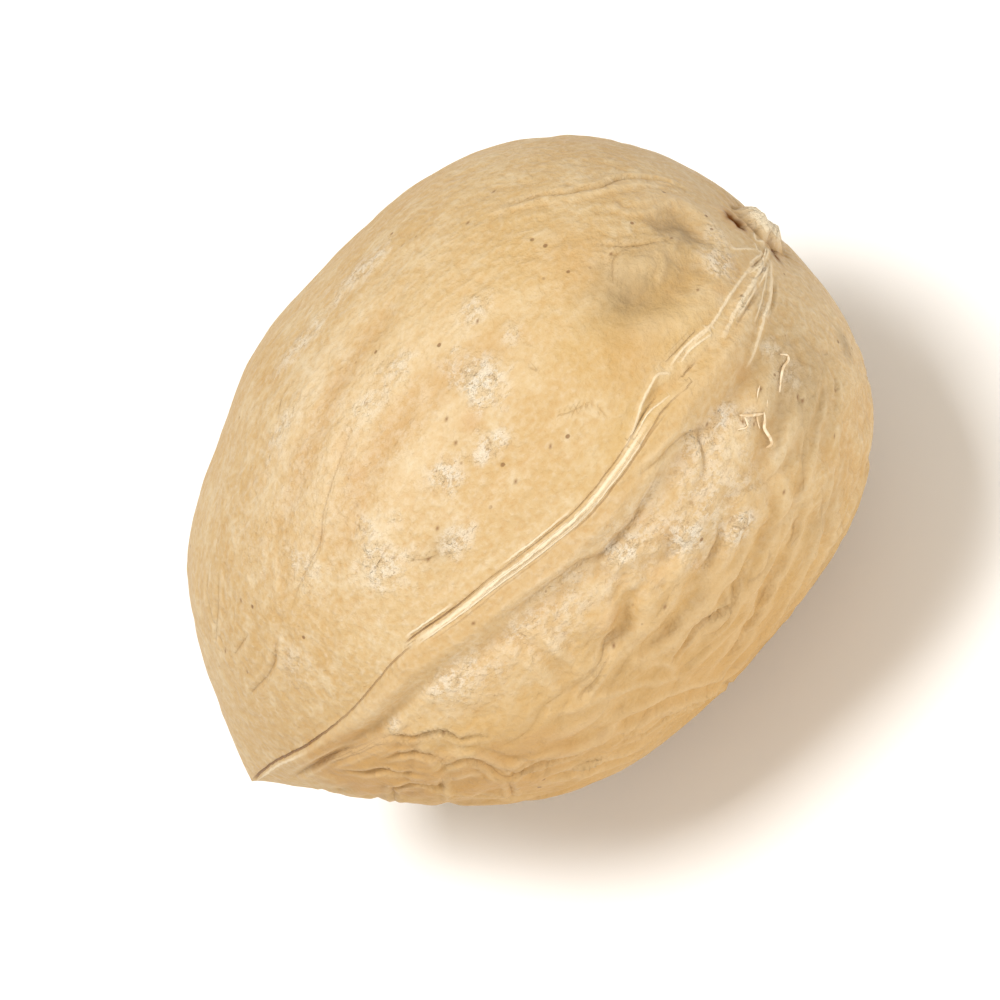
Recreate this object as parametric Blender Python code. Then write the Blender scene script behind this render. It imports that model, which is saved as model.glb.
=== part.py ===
"""A whole dry walnut in its shell, lying on its side on a small flat spot.

Metres, +Z up. The long axis runs along X and dips slightly at its tip: the pointed tip is at -X and the blunt
stem end at +X. One seam faces up and towards -Y, the other is opposite, low at the back. The shell is one closed
solid, with the origin at the middle of its base.

The surface is worked out in the nut's own axes. "along" is the distance from the tip, and "turn" is the angle
round the nut: 0 at the front seam, a quarter turn at the upper cheek, half a turn at the back seam.
"""

import math

import bmesh
import bpy
import numpy as np
from mathutils import Vector

MM = 0.001

# Overall sizes
SHELL_LENGTH = 44.0 * MM
WIDEST_AT = 25.25 * MM
UPPER_CHEEK = 17.2 * MM
LOWER_CHEEK = 16.0 * MM
SEAM_REACH = 17.1 * MM

# Outline: the tip is a blunt cone, the stem end a superellipse
TIP_POWER = 3.08
UPPER_TIP_BLUNTNESS = 0.92
LOWER_TIP_BLUNTNESS = 1.3
SEAM_TIP_BLUNTNESS = 1.1
UPPER_STEM_POWER = 2.4
LOWER_STEM_POWER = 2.6
SEAM_STEM_POWER = 2.5
SHOULDER_SWELL = 0.053
SHOULDER_SWELL_AT = 5.2 * MM
SHOULDER_SWELL_SPREAD = 2.4 * MM
FLANK_DIP = 0.068
FLANK_DIP_AT = 13.7 * MM
FLANK_DIP_SPREAD = 3.6 * MM

# Seams: each wanders off its plane, and stands proud as a low welt
FRONT_DRIFT_UP = math.radians(4.0)
FRONT_DRIFT_UP_AT = 14.2 * MM
FRONT_DRIFT_UP_SPREAD = 7.0 * MM
FRONT_DRIFT_DOWN = math.radians(2.6)
FRONT_DRIFT_DOWN_AT = 27.6 * MM
FRONT_DRIFT_DOWN_SPREAD = 4.6 * MM
BACK_DRIFT = math.radians(2.2)
WELT_HEIGHT = 0.45 * MM
WELT_OFFSET = 0.9 * MM
WELT_SPREAD = 1.5 * MM
TROUGH_DEPTH = 0.35 * MM
TROUGH_OFFSET = 3.0 * MM
TROUGH_SPREAD = 1.2 * MM
SEAM_FADE = 4.0 * MM
LEAST_RADIUS = 1.0 * MM

# Stem scar
STUB_HEIGHT = 0.55 * MM
STUB_SPREAD = 1.6 * MM

# Resting pose
SEAM_ELEVATION = math.radians(42.0)
TIP_DIP = math.radians(5.0)
FLAT_DEPTH = 0.4 * MM

# Fineness of the faces
SEGMENTS = 72
RINGS = 36
SEAM_CROWDING = 0.3

# Finish
SHELL_COLOUR = (0.74, 0.53, 0.29, 1.0)
SHELL_ROUGHNESS = 0.62


def bell(distance, spread):
    """A smooth bump, 1 at its middle and falling away on both sides over the spread."""
    return np.exp(-((distance / spread) ** 2))


def outline(along, reach, tip_bluntness, stem_power):
    """How far the shell reaches off its axis: a blunt cone before the widest ring, a superellipse behind it."""
    before = np.clip((WIDEST_AT - along) / WIDEST_AT, 0.0, 1.0)
    behind = np.clip((along - WIDEST_AT) / (SHELL_LENGTH - WIDEST_AT), 0.0, 1.0)
    tip_side = (1.0 - before**TIP_POWER) ** tip_bluntness
    stem_side = (1.0 - behind**stem_power) ** (1.0 / stem_power)
    return reach * tip_side * stem_side


def upper_outline(along):
    """The upper cheek, which swells at the shoulder of the tip and is flatter behind it."""
    swell = SHOULDER_SWELL * bell(along - SHOULDER_SWELL_AT, SHOULDER_SWELL_SPREAD)
    dip = FLANK_DIP * bell(along - FLANK_DIP_AT, FLANK_DIP_SPREAD)
    return outline(along, UPPER_CHEEK, UPPER_TIP_BLUNTNESS, UPPER_STEM_POWER) * (1.0 + swell - dip)


def lower_outline(along):
    """The lower cheek."""
    return outline(along, LOWER_CHEEK, LOWER_TIP_BLUNTNESS, LOWER_STEM_POWER)


def seam_outline(along):
    """The reach towards either seam."""
    return outline(along, SEAM_REACH, SEAM_TIP_BLUNTNESS, SEAM_STEM_POWER)


def front_drift(along):
    """How far round the front seam lies off its plane, towards the upper cheek."""
    up = FRONT_DRIFT_UP * bell(along - FRONT_DRIFT_UP_AT, FRONT_DRIFT_UP_SPREAD)
    down = FRONT_DRIFT_DOWN * bell(along - FRONT_DRIFT_DOWN_AT, FRONT_DRIFT_DOWN_SPREAD)
    return up - down


def back_drift(along):
    """How far round the back seam lies off its plane: one slow bend each way from tip to stem."""
    return BACK_DRIFT * np.sin(2.0 * math.pi * along / SHELL_LENGTH)


def seam_relief(off_seam, fade):
    """Height that a seam adds: a welt along it, and a trough below the welt."""
    welt = WELT_HEIGHT * bell(off_seam + WELT_OFFSET, WELT_SPREAD)
    trough = TROUGH_DEPTH * bell(off_seam + TROUGH_OFFSET, TROUGH_SPREAD)
    return (welt - trough) * fade


def nut_surface(along, turn):
    """Points of the shell in its own axes, as (along, towards the front seam, towards the upper cheek).

    The section is an oval with its own reach on each cheek. The seams' relief is added straight out from the axis.
    """
    near_front = np.clip(np.cos(turn), 0.0, 1.0)
    near_back = np.clip(-np.cos(turn), 0.0, 1.0)
    angle = turn + front_drift(along) * near_front + back_drift(along) * near_back
    seam_reach = seam_outline(along)
    cheek_reach = np.where(np.sin(angle) > 0.0, upper_outline(along), lower_outline(along))
    to_seam = seam_reach * np.cos(angle)
    to_cheek = cheek_reach * np.sin(angle)
    end_distance = np.minimum(along, SHELL_LENGTH - along)
    fade = 1.0 - bell(end_distance, SEAM_FADE)
    from_front = seam_reach * np.arctan2(np.sin(turn), np.cos(turn))
    from_back = seam_reach * np.arctan2(np.sin(turn), -np.cos(turn))
    relief = seam_relief(from_front, fade) + seam_relief(from_back, fade)
    radius = np.hypot(to_seam, to_cheek)
    grown = 1.0 + relief / np.maximum(radius, LEAST_RADIUS)
    stub = STUB_HEIGHT * bell(radius, STUB_SPREAD) * (along > WIDEST_AT)
    return along + stub, to_seam * grown, to_cheek * grown


def resting_axes():
    """The directions of the long axis, the front seam and the upper cheek, as the nut lies."""
    long_axis = Vector((math.cos(TIP_DIP), 0.0, math.sin(TIP_DIP)))
    seam = Vector((0.0, -math.cos(SEAM_ELEVATION), math.sin(SEAM_ELEVATION)))
    seam = (seam - long_axis * seam.dot(long_axis)).normalized()
    cheek = seam.cross(long_axis)
    return np.array([long_axis, seam, cheek])


def shape_shell(shell):
    """Moves the points of a unit sphere, poles up, onto the nut's surface and lays the nut down."""
    points = np.array([vertex.co for vertex in shell.verts])
    along = SHELL_LENGTH * (np.clip(points[:, 2], -1.0, 1.0) + 1.0) / 2.0
    turn = np.arctan2(points[:, 1], points[:, 0])
    turn = turn - SEAM_CROWDING * np.sin(2.0 * turn)
    laid = np.stack(nut_surface(along, turn), axis=1) @ resting_axes()
    for vertex, place in zip(shell.verts, laid):
        vertex.co = place


def cut_flat_spot(shell):
    """Takes a thin slice off the lowest side and closes it with one level face."""
    level = min(vertex.co.z for vertex in shell.verts) + FLAT_DEPTH
    every = shell.verts[:] + shell.edges[:] + shell.faces[:]
    bmesh.ops.bisect_plane(shell, geom=every, plane_co=(0.0, 0.0, level), plane_no=(0.0, 0.0, 1.0), clear_inner=True)
    rim = [edge for edge in shell.edges if edge.is_boundary]
    bmesh.ops.holes_fill(shell, edges=rim)
    bmesh.ops.recalc_face_normals(shell, faces=shell.faces)


def stand_on_origin(shell):
    """Moves the nut so that the middle of its base is at the origin."""
    points = np.array([vertex.co for vertex in shell.verts])
    low = points.min(axis=0)
    high = points.max(axis=0)
    base = Vector(((low[0] + high[0]) / 2.0, (low[1] + high[1]) / 2.0, low[2]))
    bmesh.ops.translate(shell, verts=shell.verts, vec=-base)


def shell_material():
    """Matte pale tan shell."""
    material = bpy.data.materials.new("walnut_shell")
    material.use_nodes = True
    shader = material.node_tree.nodes["Principled BSDF"]
    shader.inputs["Base Color"].default_value = SHELL_COLOUR
    shader.inputs["Roughness"].default_value = SHELL_ROUGHNESS
    shader.inputs["Metallic"].default_value = 0.0
    return material


def make_walnut(collection):
    """Builds the nut as one closed solid from a sphere."""
    shell = bmesh.new()
    bmesh.ops.create_uvsphere(shell, u_segments=SEGMENTS, v_segments=RINGS, radius=1.0)
    shape_shell(shell)
    cut_flat_spot(shell)
    stand_on_origin(shell)
    mesh = bpy.data.meshes.new("walnut")
    shell.to_mesh(mesh)
    shell.free()
    mesh.shade_smooth()
    mesh.set_sharp_from_angle(angle=math.radians(40.0))
    mesh.materials.append(shell_material())
    walnut = bpy.data.objects.new("walnut", mesh)
    collection.objects.link(walnut)
    return walnut


def main():
    """Clears the scene and builds the walnut in its own collection."""
    for leftover in list(bpy.data.objects):
        bpy.data.objects.remove(leftover, do_unlink=True)
    collection = bpy.data.collections.new("walnut")
    bpy.context.scene.collection.children.link(collection)
    make_walnut(collection)


main()
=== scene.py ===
"""Looks of one whole walnut lying on its side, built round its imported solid.

Metres, +Z up, with the origin at the middle of the nut's base. The shell is sculpted in the nut's own axes and in
millimetres: "along" is the distance from the pointed tip, and "turn" is the angle round the nut, 0 at the front
seam, a quarter turn at the upper cheek and half a turn at the back seam. Marks that the photograph shows are placed
by two lengths on its picture: "up" along the nut from its tip, and "across" from its long axis towards the lower
cheek.
"""

from __future__ import annotations

import logging
import math
from dataclasses import dataclass, field
from enum import Enum

import bpy
import numpy as np
from mathutils import Matrix, Vector

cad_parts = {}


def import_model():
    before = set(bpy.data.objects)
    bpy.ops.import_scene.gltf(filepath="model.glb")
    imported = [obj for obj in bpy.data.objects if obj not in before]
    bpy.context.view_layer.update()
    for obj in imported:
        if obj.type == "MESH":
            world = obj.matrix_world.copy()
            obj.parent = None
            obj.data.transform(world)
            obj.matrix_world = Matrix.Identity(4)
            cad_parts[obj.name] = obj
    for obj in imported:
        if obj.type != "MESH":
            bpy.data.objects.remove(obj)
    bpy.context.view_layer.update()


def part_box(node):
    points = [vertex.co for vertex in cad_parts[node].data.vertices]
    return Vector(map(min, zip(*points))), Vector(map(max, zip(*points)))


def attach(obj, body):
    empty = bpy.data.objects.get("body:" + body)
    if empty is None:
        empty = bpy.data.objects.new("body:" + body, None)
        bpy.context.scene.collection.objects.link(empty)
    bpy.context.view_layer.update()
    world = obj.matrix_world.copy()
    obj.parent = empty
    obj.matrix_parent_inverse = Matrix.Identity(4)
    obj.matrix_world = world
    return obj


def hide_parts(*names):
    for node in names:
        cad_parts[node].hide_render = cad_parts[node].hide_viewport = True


LOG = logging.getLogger("walnut")
Array = np.ndarray
Socket = bpy.types.NodeSocket
Colour = tuple[float, float, float, float]
# Cycles to a metre along each axis
Scale = tuple[float, float, float]
# Where along the nut a part begins, is full, ebbs and ends, in millimetres from the tip
Run = tuple[float, float, float, float]
# Places in the picture as (up, across), in millimetres
Places = tuple[tuple[float, float], ...]

MM = 0.001
NODE = "walnut"
BODY = "root"


class Tint(Enum):
    """Colour marks on the shell, each a point attribute that the finish reads: real stains and wear, and also painted
    shade (the warm, gold and grey tints in hollows, furrows and on the low side) and painted highlight (the lip tint on
    ridges and beside creases and furrows).
    """

    GROOVE = "groove"
    LIP = "lip"
    SCUFF = "scuff"
    WARM_STAIN_AND_SHADE = "warm"
    GREY_AND_SHADE = "grey"
    GOLD_AND_SHADE = "gold"
    SCAR = "scar"


class Mark(Enum):
    """How a drawn line changes the surface."""

    RIDGE = "ridge"
    CREASE = "crease"
    FURROW = "furrow"
    LIP = "lip"
    CRACK = "crack"
    SLOT = "slot"


class Line(Enum):
    """Thin crisp lines: the signed distance to the nearest one, and its strength, are kept as point attributes."""

    DARK = "dark_line"
    PALE = "pale_line"

    def strength_name(self) -> str:
        """Name of the attribute that holds how strong the line is."""
        return self.value + "_strength"


# How the front seam wanders: distance from the tip in millimetres, and degrees towards the upper cheek.
FRONT_WANDER = (
    (0.0, 6.0), (2.3, 5.8), (3.6, 4.0), (4.9, 2.8), (7.5, 2.4), (9.3, 2.5), (10.5, 2.7), (11.7, 3.3), (12.8, 4.0),
    (14.4, 4.4), (16.0, 3.7), (17.1, 2.9), (19.2, 1.65), (21.3, 0.95), (23.3, -0.35), (25.3, -1.45), (27.6, -2.5),
    (28.8, -2.3), (30.3, -1.9), (31.8, -1.4), (33.3, -0.45), (34.5, -0.2), (36.2, -0.35), (39.8, -0.95), (44.0, -1.2),
)


def bell(distance: Array, spread: float) -> Array:
    """A smooth bump: e to the minus square of distance over spread."""
    return np.exp(-((distance / spread) ** 2))


def rise(value: Array, start: float, end: float) -> Array:
    """A smooth step from 0 at start to 1 at end: 3 t squared minus 2 t cubed."""
    t = np.clip((value - start) / (end - start), 0.0, 1.0)
    return t * t * (3.0 - 2.0 * t)


def span(value: Array, start: float, full: float, ebb: float, end: float) -> Array:
    """1 between full and ebb, easing to 0 at start and end."""
    return rise(value, start, full) * (1.0 - rise(value, ebb, end))


@dataclass(frozen=True)
class Noise:
    """Seeded smooth noise in space: random slopes at the corners of a unit lattice, blended between them."""

    seed: int
    table: int = 256

    def _corner_tables(self) -> tuple[Array, Array]:
        """The shuffled order and the slopes that the seed gives."""
        chance = np.random.default_rng(self.seed)
        slopes = chance.normal(size=(self.table, 3))
        slopes /= np.linalg.norm(slopes, axis=1, keepdims=True)
        return chance.permutation(self.table), slopes

    def at(self, points: Array) -> Array:
        """Noise between about -0.7 and 0.7.

        Each corner's slope is dotted with the way from it, and the eight results are blended with
        6 t^5 - 15 t^4 + 10 t^3.

        Args:
            points: places, with the last axis of length 3.

        Returns:
            One value for each place.
        """
        order, slopes = self._corner_tables()
        cell = np.floor(points).astype(int)
        part = points - cell
        ease = part**3 * (part * (part * 6.0 - 15.0) + 10.0)
        total = np.zeros(points.shape[:-1])
        for i in (0, 1):
            for j in (0, 1):
                for k in (0, 1):
                    key = order[(cell[..., 0] + i) % self.table]
                    key = order[(key + cell[..., 1] + j) % self.table]
                    key = order[(key + cell[..., 2] + k) % self.table]
                    way = part - np.array([i, j, k])
                    slope_part = np.einsum("...c,...c->...", slopes[key], way)
                    blend = np.abs(1 - i - ease[..., 0]) * np.abs(1 - j - ease[..., 1])
                    total += slope_part * blend * np.abs(1 - k - ease[..., 2])
        return total

    def layered(self, points: Array, octaves: int, gain: float = 0.5) -> Array:
        """Sum of octaves, each at twice the fineness and gain times the height of the last.

        Args:
            points: places, with the last axis of length 3.
            octaves: how many layers.
            gain: height of each layer against the one before.

        Returns:
            One value for each place.
        """
        total = np.zeros(points.shape[:-1])
        for octave in range(octaves):
            finer = Noise(self.seed + 31 * octave)
            total += gain**octave * finer.at(points * 2.0**octave + 5.3 * octave)
        return total


@dataclass(frozen=True)
class Cells:
    """Seeded cell pattern in space: one random centre in each unit cube."""

    seed: int
    table: int = 1024

    def edges(self, points: Array) -> Array:
        """Distance to the second nearest centre less that to the nearest: 0 on the borders between cells.

        It is below 0 where the nearest centre is the later of the two in the shuffled order, so that it passes
        through 0 from one side of a border to the other.

        Args:
            points: places, with the last axis of length 3.

        Returns:
            One value for each place.
        """
        chance = np.random.default_rng(self.seed)
        order = chance.permutation(self.table)
        centres = chance.random(size=(self.table, 3))
        cell = np.floor(points).astype(int)
        first = np.full(points.shape[:-1], 9.0)
        second = np.full(points.shape[:-1], 9.0)
        first_key = np.zeros(points.shape[:-1], int)
        second_key = np.zeros(points.shape[:-1], int)
        steps = np.array(np.meshgrid([-1, 0, 1], [-1, 0, 1], [-1, 0, 1])).reshape(3, -1).T
        for step in steps:
            near = cell + step
            key = order[near[..., 0] % self.table]
            key = order[(key + near[..., 1]) % self.table]
            key = order[(key + near[..., 2]) % self.table]
            gap = np.linalg.norm(near + centres[key] - points, axis=-1)
            nearest, nearer = gap < first, gap < second
            second_key = np.where(nearest, first_key, np.where(nearer, key, second_key))
            first_key = np.where(nearest, key, first_key)
            second = np.minimum(second, np.maximum(first, gap))
            first = np.minimum(first, gap)
        return np.where(first_key > second_key, first - second, second - first)


@dataclass(frozen=True)
class NutAxes:
    """How the nut lies: the directions of its long axis, front seam and upper cheek in the row's frame."""

    seam_elevation: float = math.radians(42.0)
    tip_dip: float = math.radians(5.0)

    def rows(self) -> Array:
        """A 3 by 3 array whose rows are the three directions."""
        long_axis = np.array([math.cos(self.tip_dip), 0.0, math.sin(self.tip_dip)])
        seam = np.array([0.0, -math.cos(self.seam_elevation), math.sin(self.seam_elevation)])
        seam = seam - long_axis * (seam @ long_axis)
        seam /= np.linalg.norm(seam)
        return np.stack([long_axis, seam, np.cross(seam, long_axis)])


@dataclass(frozen=True)
class PictureView:
    """Where the photograph was taken from, in the nut's axes, and how the nut lies in the picture.

    The view swings round from the front seam towards the upper cheek and leans towards the stem end.
    """

    swing: float = math.radians(8.4)
    lean: float = math.radians(10.0)
    slope: float = math.radians(46.8)

    def towards(self) -> Array:
        """From the nut to the camera."""
        side = math.cos(self.lean)
        return np.array([math.sin(self.lean), side * math.cos(self.swing), side * math.sin(self.swing)])

    def up_the_nut(self) -> Array:
        """The long axis as the picture shows it."""
        side = -math.sin(self.lean)
        return np.array([math.cos(self.lean), side * math.cos(self.swing), side * math.sin(self.swing)])

    def across_the_nut(self) -> Array:
        """Square to the long axis in the picture, towards the lower cheek."""
        return np.array([0.0, math.sin(self.swing), -math.cos(self.swing)])


@dataclass(frozen=True)
class ShellForm:
    """The smooth form of the shell in millimetres, as the solid has it."""

    length: float = 44.0
    widest_at: float = 25.25
    upper_reach: float = 17.2
    lower_reach: float = 16.0
    seam_reach: float = 17.1
    tip_power: float = 3.08
    upper_bluntness: float = 0.95
    lower_bluntness: float = 1.3
    seam_bluntness: float = 1.1
    upper_stem_power: float = 2.4
    lower_stem_power: float = 2.6
    seam_stem_power: float = 2.5
    shoulder_swell: float = 0.030
    shoulder_at: float = 5.2
    shoulder_width: float = 2.6
    flank_dip: float = 0.052
    flank_at: float = 13.2
    flank_width: float = 4.2
    bend_rounding: float = 0.8
    back_drift_most: float = math.radians(2.2)

    def outline(self, along: Array, reach: float, bluntness: float, stem_power: float) -> Array:
        """Half-width of the shell at a distance from the tip.

        Before the widest ring it is reach times (1 - u^tip_power)^bluntness, behind it the superellipse
        reach times (1 - v^stem_power)^(1/stem_power), with u and v running 0 to 1 from that ring to each end.

        Args:
            along: distance from the tip.
            reach: half-width at the widest ring.
            bluntness: lower is blunter at the tip.
            stem_power: higher is squarer at the stem end.

        Returns:
            The half-width at each distance.
        """
        before = np.clip((self.widest_at - along) / self.widest_at, 0.0, 1.0)
        behind = np.clip((along - self.widest_at) / (self.length - self.widest_at), 0.0, 1.0)
        tip_side = (1.0 - before**self.tip_power) ** bluntness
        stem_side = (1.0 - behind**stem_power) ** (1.0 / stem_power)
        return reach * tip_side * stem_side

    def upper_outline(self, along: Array) -> Array:
        """The upper cheek: it swells at the shoulder of the tip and is flatter behind it."""
        swell = self.shoulder_swell * bell(along - self.shoulder_at, self.shoulder_width)
        dip = self.flank_dip * bell(along - self.flank_at, self.flank_width)
        plain = self.outline(along, self.upper_reach, self.upper_bluntness, self.upper_stem_power)
        return plain * (1.0 + swell - dip)

    def lower_outline(self, along: Array) -> Array:
        """The lower cheek."""
        return self.outline(along, self.lower_reach, self.lower_bluntness, self.lower_stem_power)

    def seam_outline(self, along: Array) -> Array:
        """The reach towards either seam."""
        return self.outline(along, self.seam_reach, self.seam_bluntness, self.seam_stem_power)

    def front_drift(self, along: Array) -> Array:
        """Angle by which the front seam lies off its plane, towards the upper cheek: a curve through FRONT_WANDER.

        Between its knots the angle is read off straight lines, then averaged over a short run to round the bends.
        """
        places, degrees = np.array(FRONT_WANDER).T
        shifts = np.linspace(-self.bend_rounding, self.bend_rounding, 9)
        spread = np.mean([np.interp(along + shift, places, degrees) for shift in shifts], axis=0)
        return np.radians(spread)

    def back_drift(self, along: Array) -> Array:
        """Angle by which the back seam lies off its plane: one slow bend each way."""
        return self.back_drift_most * np.sin(2.0 * math.pi * along / self.length)

    def surface(self, along: Array, turn: Array) -> Array:
        """Points of the smooth shell: an oval section with its own reach on each cheek.

        Args:
            along: distance from the tip.
            turn: angle round the nut from the front seam's line.

        Returns:
            Places as (along, towards the front seam, towards the upper cheek).
        """
        near_front = np.clip(np.cos(turn), 0.0, 1.0)
        near_back = np.clip(-np.cos(turn), 0.0, 1.0)
        angle = turn + self.front_drift(along) * near_front + self.back_drift(along) * near_back
        cheek = np.where(np.sin(angle) > 0.0, self.upper_outline(along), self.lower_outline(along))
        return np.stack([along, self.seam_outline(along) * np.cos(angle), cheek * np.sin(angle)], axis=-1)


@dataclass(frozen=True)
class PictureFinder:
    """Finds the place on the shell that shows at a place in the picture."""

    form: ShellForm
    view: PictureView
    rounds: int = 14
    step: float = 1e-4
    end_margin: float = 0.02
    most_along: float = 2.0
    most_turn: float = 0.15

    def _picture(self, along: Array, turn: Array) -> Array:
        """Where points of the shell show: (up, across)."""
        points = self.form.surface(along, turn)
        return np.stack([points @ self.view.up_the_nut(), points @ self.view.across_the_nut()], axis=-1)

    def find(self, places: Array) -> tuple[Array, Array]:
        """Solves for the shell's own coordinates by Newton's method, with slopes from small steps and short moves.

        Args:
            places: rows of (up, across) in the picture, in millimetres.

        Returns:
            along and turn for each row.
        """
        up, across = places[:, 0], places[:, 1]
        along = np.clip(up / math.cos(self.view.lean) + 1.5, 1.0, self.form.length - 1.0)
        turn = self.view.swing - np.arcsin(np.clip(across / self.form.lower_reach, -0.97, 0.97))
        last = self.form.length - self.end_margin
        for _ in range(self.rounds):
            here = self._picture(along, turn)
            by_along = (self._picture(along + self.step, turn) - here) / self.step
            by_turn = (self._picture(along, turn + self.step) - here) / self.step
            miss = np.stack([up, across], axis=-1) - here
            scale = by_along[:, 0] * by_turn[:, 1] - by_along[:, 1] * by_turn[:, 0]
            scale = np.where(np.abs(scale) < 1.0, np.sign(scale) + (scale == 0.0), scale)
            move_along = (miss[:, 0] * by_turn[:, 1] - miss[:, 1] * by_turn[:, 0]) / scale
            move_turn = (miss[:, 1] * by_along[:, 0] - miss[:, 0] * by_along[:, 1]) / scale
            move_along = np.clip(move_along, -self.most_along, self.most_along)
            along = np.clip(along + move_along, self.end_margin, last)
            turn = turn + np.clip(move_turn, -self.most_turn, self.most_turn)
        return along, turn

    def on_shell(self, places: Places | Array) -> Array:
        """The points of the smooth shell that show at places in the picture, one a row."""
        return self.form.surface(*self.find(np.array(places)))


@dataclass
class Sculpt:
    """The shell while it is worked: its smooth base on a grid, and what the layers add.

    Rows run from the tip to the stem end at even steps of surface length, columns round the nut, closer together
    near the two seams. The first and last rows are the two ends, where all columns meet.
    """

    form: ShellForm
    finder: PictureFinder
    rows: int = 226
    columns: int = 440
    front_crowding: float = 4.2
    front_zone: float = 0.085
    back_crowding: float = 1.6
    back_zone: float = 0.08
    facing_share: float = 0.42
    far: float = 9.0
    ink_fades: tuple[float, float] = (0.16, 0.36)
    along: Array = field(init=False)
    turn: Array = field(init=False)
    base: Array = field(init=False)
    normals: Array = field(init=False)
    height: Array = field(init=False)
    tints: dict[Tint, Array] = field(init=False)
    gaps: dict[Line, Array] = field(init=False)
    strengths: dict[Line, Array] = field(init=False)

    def __post_init__(self) -> None:
        """Lays out the grid, its base points and its outward normals."""
        self.along, self.turn = np.meshgrid(self._row_places(), self._column_turns(), indexing="ij")
        self.base = self.form.surface(self.along, self.turn)
        self.normals = self._outward()
        self.height = np.zeros(self.along.shape)
        self.tints = {tint: np.zeros(self.along.shape) for tint in Tint}
        self.gaps = {line: np.full(self.along.shape, self.far) for line in Line}
        self.strengths = {line: np.zeros(self.along.shape) for line in Line}

    def _row_places(self) -> Array:
        """Distances from the tip at even steps along the outline of the seam."""
        swing = np.linspace(0.0, math.pi, 6001)
        along = self.form.length * (1.0 - np.cos(swing)) / 2.0
        reach = self.form.seam_outline(along)
        run = np.concatenate([[0.0], np.cumsum(np.hypot(np.diff(along), np.diff(reach)))])
        return np.interp(np.linspace(0.0, run[-1], self.rows), run, along)

    def _column_turns(self) -> Array:
        """Angles round the nut, closer on the side that faces up and closest at the two seams."""
        fine = np.linspace(-math.pi, math.pi, 8001)
        at_front = bell(np.sin(fine), self.front_zone) * (np.cos(fine) > 0.0)
        at_back = bell(np.sin(fine), self.back_zone) * (np.cos(fine) < 0.0)
        crowd = 1.0 + self.facing_share * np.cos(fine) + self.front_crowding * at_front
        crowd = crowd + self.back_crowding * at_back
        count = np.concatenate([[0.0], np.cumsum((crowd[1:] + crowd[:-1]) / 2.0)])
        even = np.arange(self.columns) / self.columns * count[-1]
        return np.interp(even, count, fine)

    def _outward(self) -> Array:
        """Unit normals of the base, from the cross product of its slopes along and round the nut."""
        lengthwise = np.gradient(self.base, axis=0)
        roundwise = np.roll(self.base, -1, axis=1) - np.roll(self.base, 1, axis=1)
        normals = np.cross(lengthwise, roundwise)
        normals[0] = normals[-1] = 0.0
        normals[0, :, 0] = -1.0
        normals[-1, :, 0] = 1.0
        normals /= np.maximum(np.linalg.norm(normals, axis=-1, keepdims=True), 1e-12)
        middle = np.array([self.form.length / 2.0, 0.0, 0.0])
        inward = np.einsum("...c,...c->...", normals, self.base - middle) < 0.0
        normals[inward] *= -1.0
        return normals

    def off_front(self) -> Array:
        """Surface distance from the front seam's line, positive towards the upper cheek."""
        return self.form.seam_outline(self.along) * np.arctan2(np.sin(self.turn), np.cos(self.turn))

    def off_back(self) -> Array:
        """Surface distance from the back seam's line, positive towards the upper cheek."""
        return self.form.seam_outline(self.along) * np.arctan2(np.sin(self.turn), -np.cos(self.turn))

    def near_ends(self, reach: float) -> Array:
        """1 at either end, fading over the reach."""
        return bell(np.minimum(self.along, self.form.length - self.along), reach)

    def mark_tint(self, tint: Tint, amount: Array) -> None:
        """Deepens a tint where the amount is above what is there; tints hold stains and wear, and also painted shade
        and painted highlight.
        """
        self.tints[tint] = np.maximum(self.tints[tint], amount)

    def draw(self, line: Line, gap: Array, half_width: float, strength: Array, where: object = ...) -> None:
        """Lays a thin line where its signed distance is the least so far; it is kept in half-widths.

        Args:
            line: which kind.
            gap: signed distance from the line in millimetres.
            half_width: half its width in millimetres.
            strength: 0 to 1.
            where: which points the values are for, or all of them.
        """
        ratio = np.clip(gap / half_width, -self.far, self.far)
        faded = strength * (1.0 - rise(np.abs(gap), *self.ink_fades))
        nearer = (np.abs(ratio) < np.abs(self.gaps[line][where])) & (faded > 0.01)
        self.gaps[line][where] = np.where(nearer, ratio, self.gaps[line][where])
        self.strengths[line][where] = np.where(nearer, faded, self.strengths[line][where])

    def finished(self) -> Array:
        """The base moved out along its normals by the height of the layers."""
        return self.base + self.normals * self.height[..., None]


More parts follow.
